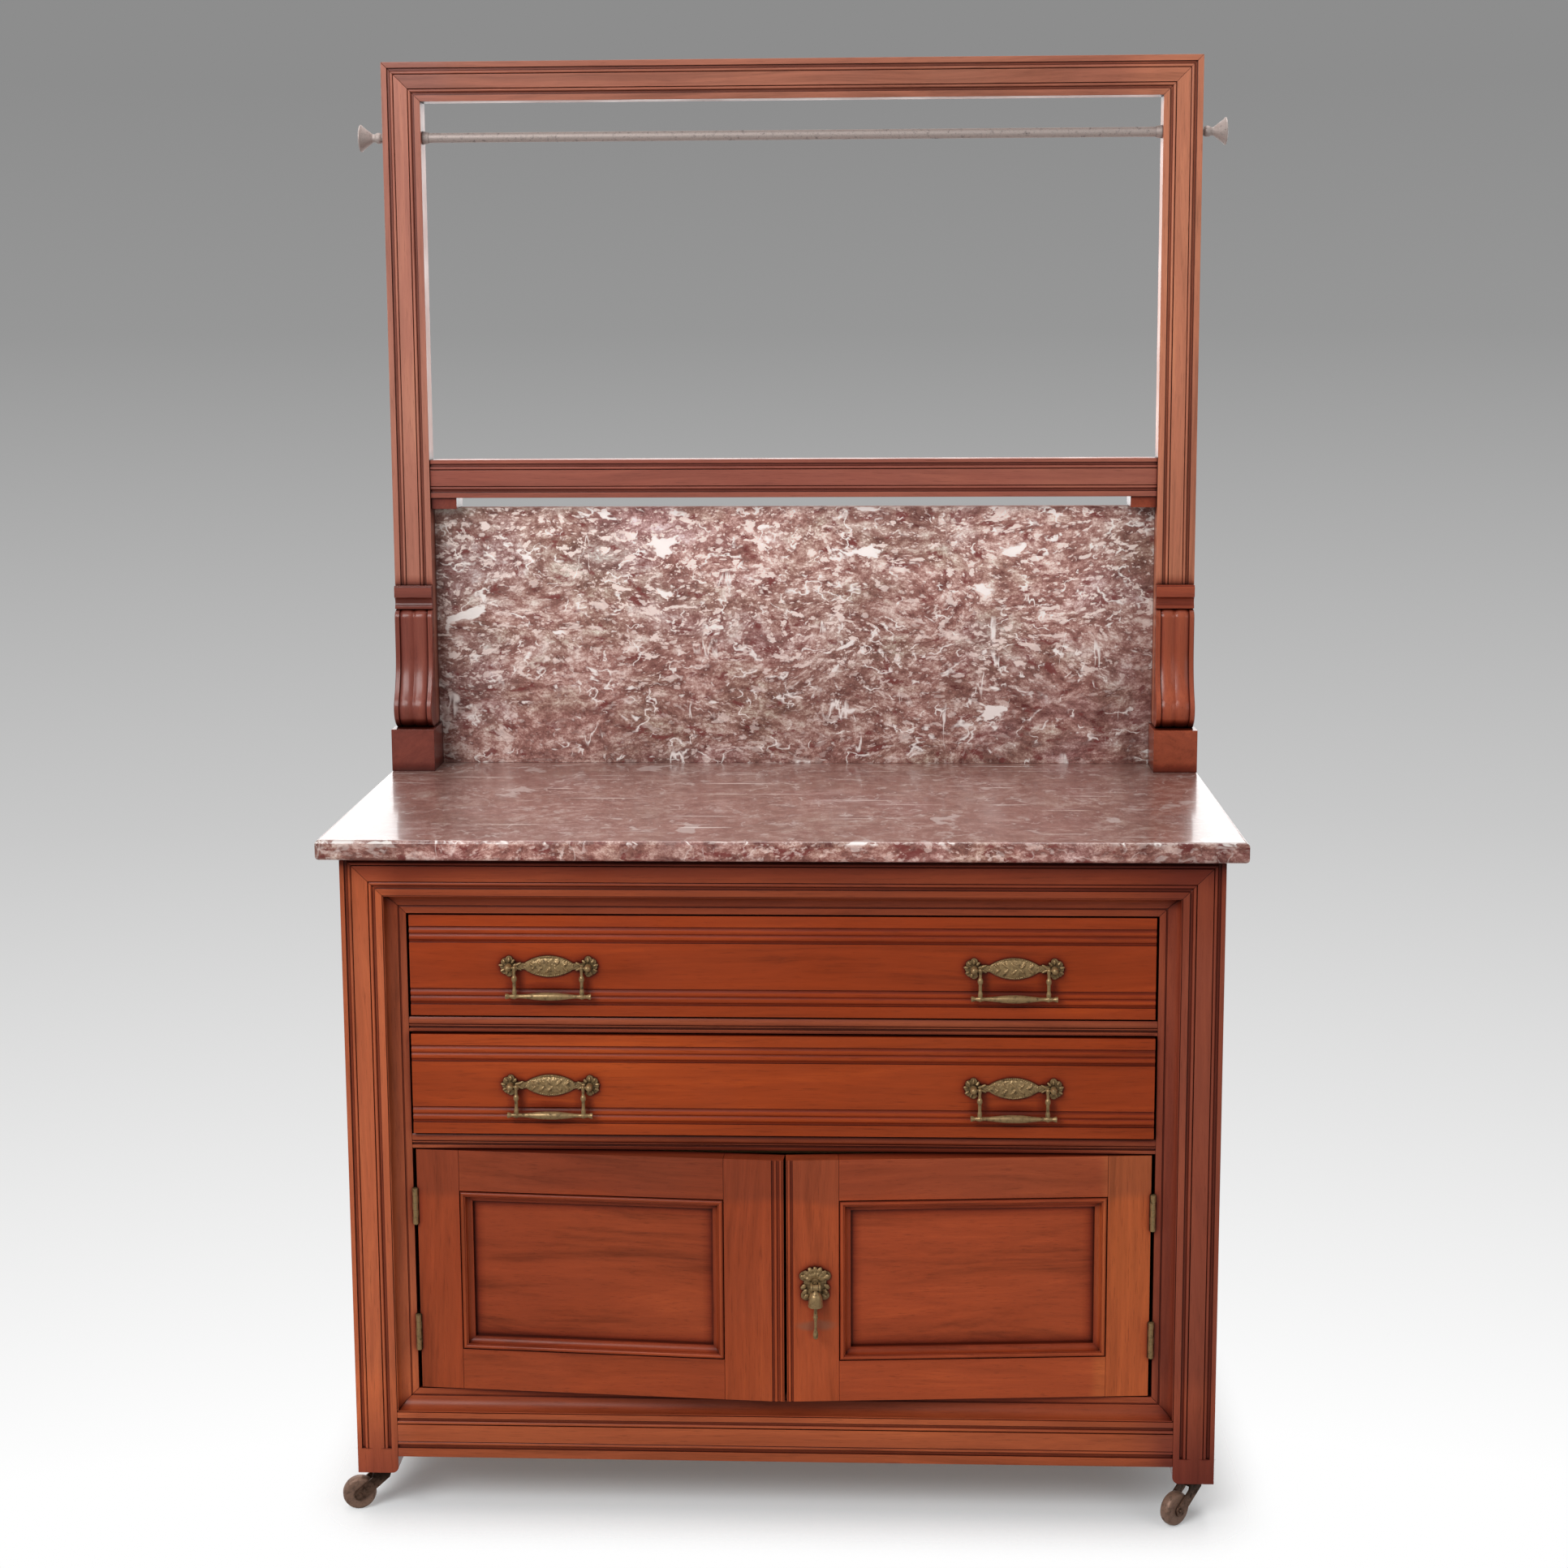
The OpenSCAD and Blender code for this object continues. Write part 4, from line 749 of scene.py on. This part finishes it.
class MakeStage(bpy.types.Operator):
    """Sets the pale floor and backdrop, the soft lamps and the camera"""

    bl_idname = "washstand.make_stage"
    bl_label = "Stage"

    def execute(self, context):
        settings = context.scene.washstand_stage
        self.floor(settings)
        self.air(context.scene, settings)
        self.lamps(context.scene, settings)
        self.camera(context.scene, settings)
        context.scene.view_settings.view_transform = "Standard"
        return {"FINISHED"}

    def floor(self, settings):
        """A wide pale floor, which is seen only round the washstand's feet."""
        bpy.ops.object.select_all(action="DESELECT")
        bpy.ops.mesh.primitive_circle_add(vertices=96, radius=9.0, fill_type="NGON", location=(0, 0, 0))
        floor = bpy.context.object
        floor.name = "studio_floor"
        floor.data.materials.append(self.paper(settings))

    def seen(self, f):
        """1 for what the camera, a mirror or a pane sees, and 0 for what only lights the room."""
        path = f.add("LightPath", {}, "Is Camera Ray").node.outputs
        mirrored = f.math("MAXIMUM", path["Is Glossy Ray"], path["Is Transmission Ray"])
        return f.math("MAXIMUM", path["Is Camera Ray"], mirrored)

    def paper(self, settings):
        """White paper round the feet, which fades out into the backdrop.

        Where it is seen, part of its light is its own, so that the shadow stays soft.
        """
        f = Finish("studio_paper")
        under_case = (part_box("legs_front")[1].x - 40 * MM, -FACE_Y - 40 * MM, 0.0)
        past = f.vector("SUBTRACT", f.vector("ABSOLUTE", f.place()), under_case)
        away = f.vector("LENGTH", f.vector("MAXIMUM", past, (0.0, 0.0, 0.0)), out="Value")
        white = times(settings.paper, settings.matt)
        # Painted shadow: where the case shuts off the sky, the paper is darker and a little bluer.
        shaded = toned(times(white, 0.94), (0.95, 1.0, 1.02))
        lifted = f.mix(f.between(f.occlusion(0.5, 16), 0.35, 0.75), shaded, white)
        glow = f.add("Emission", {"Color": settings.paper, "Strength": settings.glow})
        shown = f.add("AddShader", {0: glow, 1: f.add("BsdfDiffuse", {"Color": lifted})})
        mirrored = f.product(f.add("LightPath", {}, "Is Glossy Ray"), 0.8)
        gone = f.math("MAXIMUM", f.between(away, 0.0, settings.fade), mirrored)
        faded = f.add("MixShader", {0: gone, 1: shown, 2: f.add("BsdfTransparent", {})})
        plain = f.add("BsdfDiffuse", {"Color": (0.6, 0.6, 0.6)})
        both = f.add("MixShader", {0: self.seen(f), 1: plain, 2: faded})
        f.feed(f.tree.nodes["Material Output"], {"Surface": both})
        f.tree.nodes.remove(f.surface)
        return f.made

    def air(self, scene, settings):
        """Even light from all round.

        What is seen of it is a backdrop that pales downwards, and the polish mirrors a dark room in
        front and white behind.
        """
        world = bpy.data.worlds.new("studio_air")
        world.use_nodes = True
        f = Shader(world.node_tree)
        way = f.add("TexCoord", {}, "Generated")
        wall = f.ramp(
            f.add("MapRange", {"Value": f.along(way, "Z"), 1: -0.44, 2: 0.1}),
            (0.0, settings.low),
            (0.44, times(settings.low, 0.58)),
            (0.815, times(settings.high, 1.16)),
            (1.0, settings.high),
        )
        gleam = f.between(f.along(way, "Y"), -0.1, 0.75, settings.gleam, 1.0)
        lit = f.add("Background", {"Color": (1.0, 1.0, 1.0), "Strength": settings.sky})
        seen = f.add("Background", {"Color": wall, "Strength": 1.0})
        mirror = f.add("Background", {"Color": (1.0, 1.0, 1.0), "Strength": gleam})
        path = f.add("LightPath", {}, "Is Camera Ray").node.outputs
        unseen = f.add("MixShader", {0: path["Is Glossy Ray"], 1: lit, 2: mirror})
        both = f.add("MixShader", {0: path["Is Camera Ray"], 1: unseen, 2: seen})
        f.feed(f.tree.nodes["World Output"], {"Surface": both})
        scene.world = world

    def lamps(self, scene, settings):
        """A large lamp at the front left, a weaker one at the right and one overhead.

        A wide one behind is there for the marble to mirror.
        """
        aim = Vector((0, 0, 0.85))
        for name, place, wide, high, power in (
            ("key_lamp", (-1.9, -3.0, 3.1), 2.0, 2.0, settings.key),
            ("fill_lamp", (2.8, -2.4, 1.9), 2.0, 2.0, settings.fill),
            ("top_lamp", (0.0, 0.4, 3.8), 2.6, 1.6, settings.top),
            ("back_lamp", (0.0, 4.6, 1.9), 6.0, 2.2, settings.back),
        ):
            lamp = bpy.data.lights.new(name, "AREA")
            lamp.shape = "RECTANGLE"
            lamp.size = wide
            lamp.size_y = high
            lamp.energy = power
            stand = bpy.data.objects.new(name, lamp)
            stand.location = place
            stand.rotation_euler = (aim - Vector(place)).to_track_quat("-Z", "Y").to_euler()
            stand.visible_camera = False
            # The one behind is only mirrored, and lights nothing.
            stand.visible_diffuse = name != "back_lamp"
            scene.collection.objects.link(stand)

    def camera(self, scene, settings):
        """The photograph's point of view."""
        yaw, pitch, roll = settings.yaw, settings.pitch, settings.roll
        ahead = Vector((math.sin(yaw) * math.cos(pitch), math.cos(yaw) * math.cos(pitch), -math.sin(pitch)))
        level = Vector((math.cos(yaw), -math.sin(yaw), 0))
        upright = level.cross(ahead)
        right = level * math.cos(roll) + upright * math.sin(roll)
        up = upright * math.cos(roll) - level * math.sin(roll)
        data = bpy.data.cameras.new("camera")
        data.lens = settings.lens
        data.sensor_width = 36
        data.shift_y = settings.rise
        data.clip_end = 50
        camera = bpy.data.objects.new("camera", data)
        camera.matrix_world = Matrix((right, up, -ahead)).transposed().to_4x4()
        camera.location = Vector(settings.stand) + Vector((0, FACE_Y, 0))
        scene.collection.objects.link(camera)
        scene.camera = camera


class FinishCase(bpy.types.Operator):
    """Grains and polishes the legs, rails, moulding and sides of the case, and leaves its insides bare"""

    bl_idname = "washstand.finish_case"
    bl_label = "Case"

    def execute(self, context):
        arris = context.scene.washstand_wood.arris
        for node in (
            "legs_front", "rail_front_top", "rail_front_bottom", "opening_moulding",
            "side_rails", "side_panels", "drawer_rails", "legs_rear",
        ):
            dressed(node, "case", "case_wood", arris)
        for node in (
            "drawer_runners", "cupboard_floor", "dust_board", "door_stops",
            "rear_rails", "back_boards", "top_bearers",
        ):
            dressed(node, "case", "inner_wood", arris)
        return {"FINISHED"}


class FinishDrawers(bpy.types.Operator):
    """Grains and polishes the drawer fronts, and leaves the drawer boxes bare"""

    bl_idname = "washstand.finish_drawers"
    bl_label = "Drawers"

    def execute(self, context):
        arris = context.scene.washstand_wood.arris
        for body in ("drawer_upper", "drawer_lower"):
            dressed(body + "_front", body, "case_wood", arris, finish="drawer_wood")
            dressed(body + "_box", body, "inner_wood", arris)
        return {"FINISHED"}


class FinishDoors(bpy.types.Operator):
    """Grains and polishes the stiles, rails and panels of both doors"""

    bl_idname = "washstand.finish_doors"
    bl_label = "Doors"

    def execute(self, context):
        arris = context.scene.washstand_wood.arris
        for body, finish in (("door_left", "door_wood"), ("door_right", "bleached_wood")):
            for part in ("_stiles", "_rails"):
                dressed(body + part, body, "case_wood", arris, finish=finish)
            dressed(body + "_panel", body, "case_wood", finish=finish, framed=PANEL_MOULDING)
        return {"FINISHED"}


class FinishGallery(bpy.types.Operator):
    """Grains and polishes the towel gallery, its plinths and its reeded scroll brackets"""

    bl_idname = "washstand.finish_gallery"
    bl_label = "Gallery"

    def execute(self, context):
        arris = context.scene.washstand_wood.arris
        for node in ("gallery_uprights", "gallery_top_rail", "gallery_stays"):
            dressed(node, "case", "gallery_wood", arris)
        dressed("gallery_mid_rail", "case", "gallery_wood", arris, finish="rail_wood")
        # The blocks under the middle rail take the darker bracket finish as painted shade, for the shadow they
        # stand in under the rail.
        for node in ("gallery_plinths", "bracket_collars", "splash_blocks"):
            dressed(node, "case", "gallery_wood", arris, finish="bracket_wood")
        dressed("scroll_brackets", "case", "gallery_wood", finish="bracket_wood")
        return {"FINISHED"}


class FinishMarble(bpy.types.Operator):
    """Polishes the marble top and splashback"""

    bl_idname = "washstand.finish_marble"
    bl_label = "Marble"

    def execute(self, context):
        dressed("marble_top", "case", "marble", STONE_ARRIS)
        dressed("splashback", "case", "marble", STONE_ARRIS)
        return {"FINISHED"}


class FinishBrass(bpy.types.Operator):
    """Tarnishes the drawer handles, the door pull and the hinges"""

    bl_idname = "washstand.finish_brass"
    bl_label = "Handles and hinges"

    def execute(self, context):
        for level in ("upper", "lower"):
            dressed("handle_plates_" + level, "drawer_" + level, "aged_brass")
            for side in ("left", "right"):
                dressed(f"bail_{level}_{side}", f"bail_{level}_{side}", "aged_brass")
        dressed("pull_plate", "door_right", "aged_brass")
        dressed("pull_drop", "pull", "aged_brass")
        for side in ("left", "right"):
            dressed(f"hinges_{side}_case", "case", "hinge_brass")
            dressed(f"hinges_{side}_door", "door_" + side, "hinge_brass")
        return {"FINISHED"}


class CastHandles(bpy.types.Operator):
    """Casts the leafy relief on the plates of the drawer handles"""

    bl_idname = "washstand.cast_handles"
    bl_label = "Handle relief"

    def execute(self, context):
        for level in ("upper", "lower"):
            plates_low, plates_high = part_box("handle_plates_" + level)
            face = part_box(f"drawer_{level}_front")[0].y
            height = (plates_low.z + plates_high.z) / 2
            for side in ("left", "right"):
                low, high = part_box(f"bail_{level}_{side}")
                middle = Vector(((low.x + high.x) / 2, face - 1.6 * MM, height))
                self.relief(f"handle_relief_{level}_{side}", middle, "drawer_" + level)
        return {"FINISHED"}

    def relief(self, name, middle, body):
        """A beaded lens between two rosettes, with small leaves that curl from them to the lens."""
        half, rise, boss = 31 * MM, 11.6 * MM, 46.5 * MM
        beads, leaves = 26, 9
        parts = [dome(middle, (half - 1 * MM, 2.6 * MM, rise - 1.4 * MM))]
        for above in (1, -1):
            for bead in range(beads + 1):
                along = 2 * bead / beads - 1
                spot = middle + Vector((along * half, -0.4 * MM, above * rise * (1 - along * along)))
                parts.append(dome(spot, (1.0 * MM,) * 3))
        for along in (-0.62, -0.31, 0.0, 0.31, 0.62):
            for above in (-1, 1):
                spot = middle + Vector((along * half, -2.3 * MM, above * 3.6 * MM * (1 - along * along)))
                lean = above * (0.75 if along < 0.1 else -0.75)
                parts.append(dome(spot, (4.6 * MM, 1.5 * MM, 1.5 * MM), (0.0, lean, 0.0)))
        for end in (-1, 1):
            hub = middle + Vector((end * boss, 0.0, 0.0))
            for leaf in range(leaves):
                turn = math.tau * leaf / leaves + 0.2
                reach = (7.9 + 0.9 * math.cos(turn) * end) * MM
                spot = hub + Vector((reach * math.cos(turn), -0.9 * MM, reach * math.sin(turn)))
                parts.append(dome(spot, (3.3 * MM, 1.9 * MM, 1.7 * MM), (0.0, -turn, 0.0)))
            for above in (-1, 1):
                spot = middle + Vector((end * 35.5 * MM, -0.6 * MM, above * 2.6 * MM))
                parts.append(dome(spot, (4.4 * MM, 1.7 * MM, 1.5 * MM), (0.0, above * end * 0.5, 0.0)))
        cast(name, parts, middle + Vector((0, 1.3 * MM, 0)), Vector((0, -1, 0)), body, 3.2 * MM)


class CastPull(bpy.types.Operator):
    """Casts the palmette on the plate of the door pull"""

    bl_idname = "washstand.cast_pull"
    bl_label = "Pull relief"

    def execute(self, context):
        low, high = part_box("pull_drop")
        out = Vector((math.sin(DOOR_AJAR), -math.cos(DOOR_AJAR), 0))
        side = Vector((math.cos(DOOR_AJAR), math.sin(DOOR_AJAR), 0))
        pivot = Vector(((low.x + high.x) / 2, (low.y + high.y) / 2, high.z - 3.6 * MM))
        back = pivot - out * (PULL_STAND - 1.6 * MM)

        def spot(across, up, forward):
            return back + side * across + Vector((0, 0, up)) + out * forward

        parts = [dome(spot(0, 1 * MM, 0), (8 * MM, 1.8 * MM, 8 * MM), (0, 0, DOOR_AJAR))]
        leaves, tip = 7, 14.5 * MM
        for leaf in range(leaves):
            turn = math.radians(22 * (leaf - leaves // 2))
            for reach, wide in ((0.62 * tip, 2.6), (tip, 2.9)):
                place = spot(reach * math.sin(turn), 3 * MM + reach * math.cos(turn), 1.2 * MM)
                parts.append(dome(place, (wide * MM, 2.1 * MM, 4.4 * MM), (0.0, turn, DOOR_AJAR)))
        for end in (-1, 1):
            for down, wide in ((-3, 13.5), (-9, 11.5), (-15, 10.5)):
                place = spot(end * wide * MM, down * MM, 1.0 * MM)
                parts.append(dome(place, (4.2 * MM, 2.0 * MM, 2.8 * MM), (0.0, end * 0.7, DOOR_AJAR)))
        cast("pull_relief", parts, back, out, "door_right", 2.6 * MM)
        return {"FINISHED"}


class FinishTowelRod(bpy.types.Operator):
    """Polishes the towel rod and its finials"""

    bl_idname = "washstand.finish_towel_rod"
    bl_label = "Towel rod"

    def execute(self, context):
        dressed("towel_rod", "case", "polished_brass")
        dressed("rod_finials", "case", "polished_brass", METAL_ARRIS)
        return {"FINISHED"}


class FinishCasters(bpy.types.Operator):
    """Blackens the caster plates and horns, and wears the wheels"""

    bl_idname = "washstand.finish_casters"
    bl_label = "Casters"

    def execute(self, context):
        dressed("caster_sockets", "case", "caster_metal", METAL_ARRIS)
        for place in ("front_left", "front_right", "rear_left", "rear_right"):
            dressed("horn_" + place, "caster_" + place, "caster_metal", METAL_ARRIS)
            dressed("wheel_" + place, "wheel_" + place, "caster_wheel", WHEEL_ARRIS)
        return {"FINISHED"}


OPERATORS = (
    MakeStage,
    FinishCase,
    FinishDrawers,
    FinishDoors,
    FinishGallery,
    FinishMarble,
    FinishBrass,
    CastHandles,
    CastPull,
    FinishTowelRod,
    FinishCasters,
)


class WashstandPanel(bpy.types.Panel):
    """Lists the steps in the order in which the washstand is finished"""

    bl_idname = "VIEW3D_PT_washstand"
    bl_label = "Washstand"
    bl_space_type = "VIEW_3D"
    bl_region_type = "UI"
    bl_category = "Washstand"

    def draw(self, context):
        for group, settings in GROUPS.items():
            box = self.layout.box()
            for name in settings.__annotations__:
                box.prop(getattr(context.scene, group), name)
        for step in OPERATORS:
            self.layout.operator(step.bl_idname)


def register():
    for group, settings in GROUPS.items():
        bpy.utils.register_class(settings)
        setattr(bpy.types.Scene, group, PointerProperty(type=settings))
    for made in (*OPERATORS, WashstandPanel):
        bpy.utils.register_class(made)


def unregister():
    for made in (*OPERATORS, WashstandPanel):
        bpy.utils.unregister_class(made)
    for group, settings in GROUPS.items():
        delattr(bpy.types.Scene, group)
        bpy.utils.unregister_class(settings)


def main():
    """Finishes the washstand step by step."""
    register()
    for step in OPERATORS:
        group, name = step.bl_idname.split(".")
        getattr(getattr(bpy.ops, group), name)()


if __name__ == "__main__":
    main()
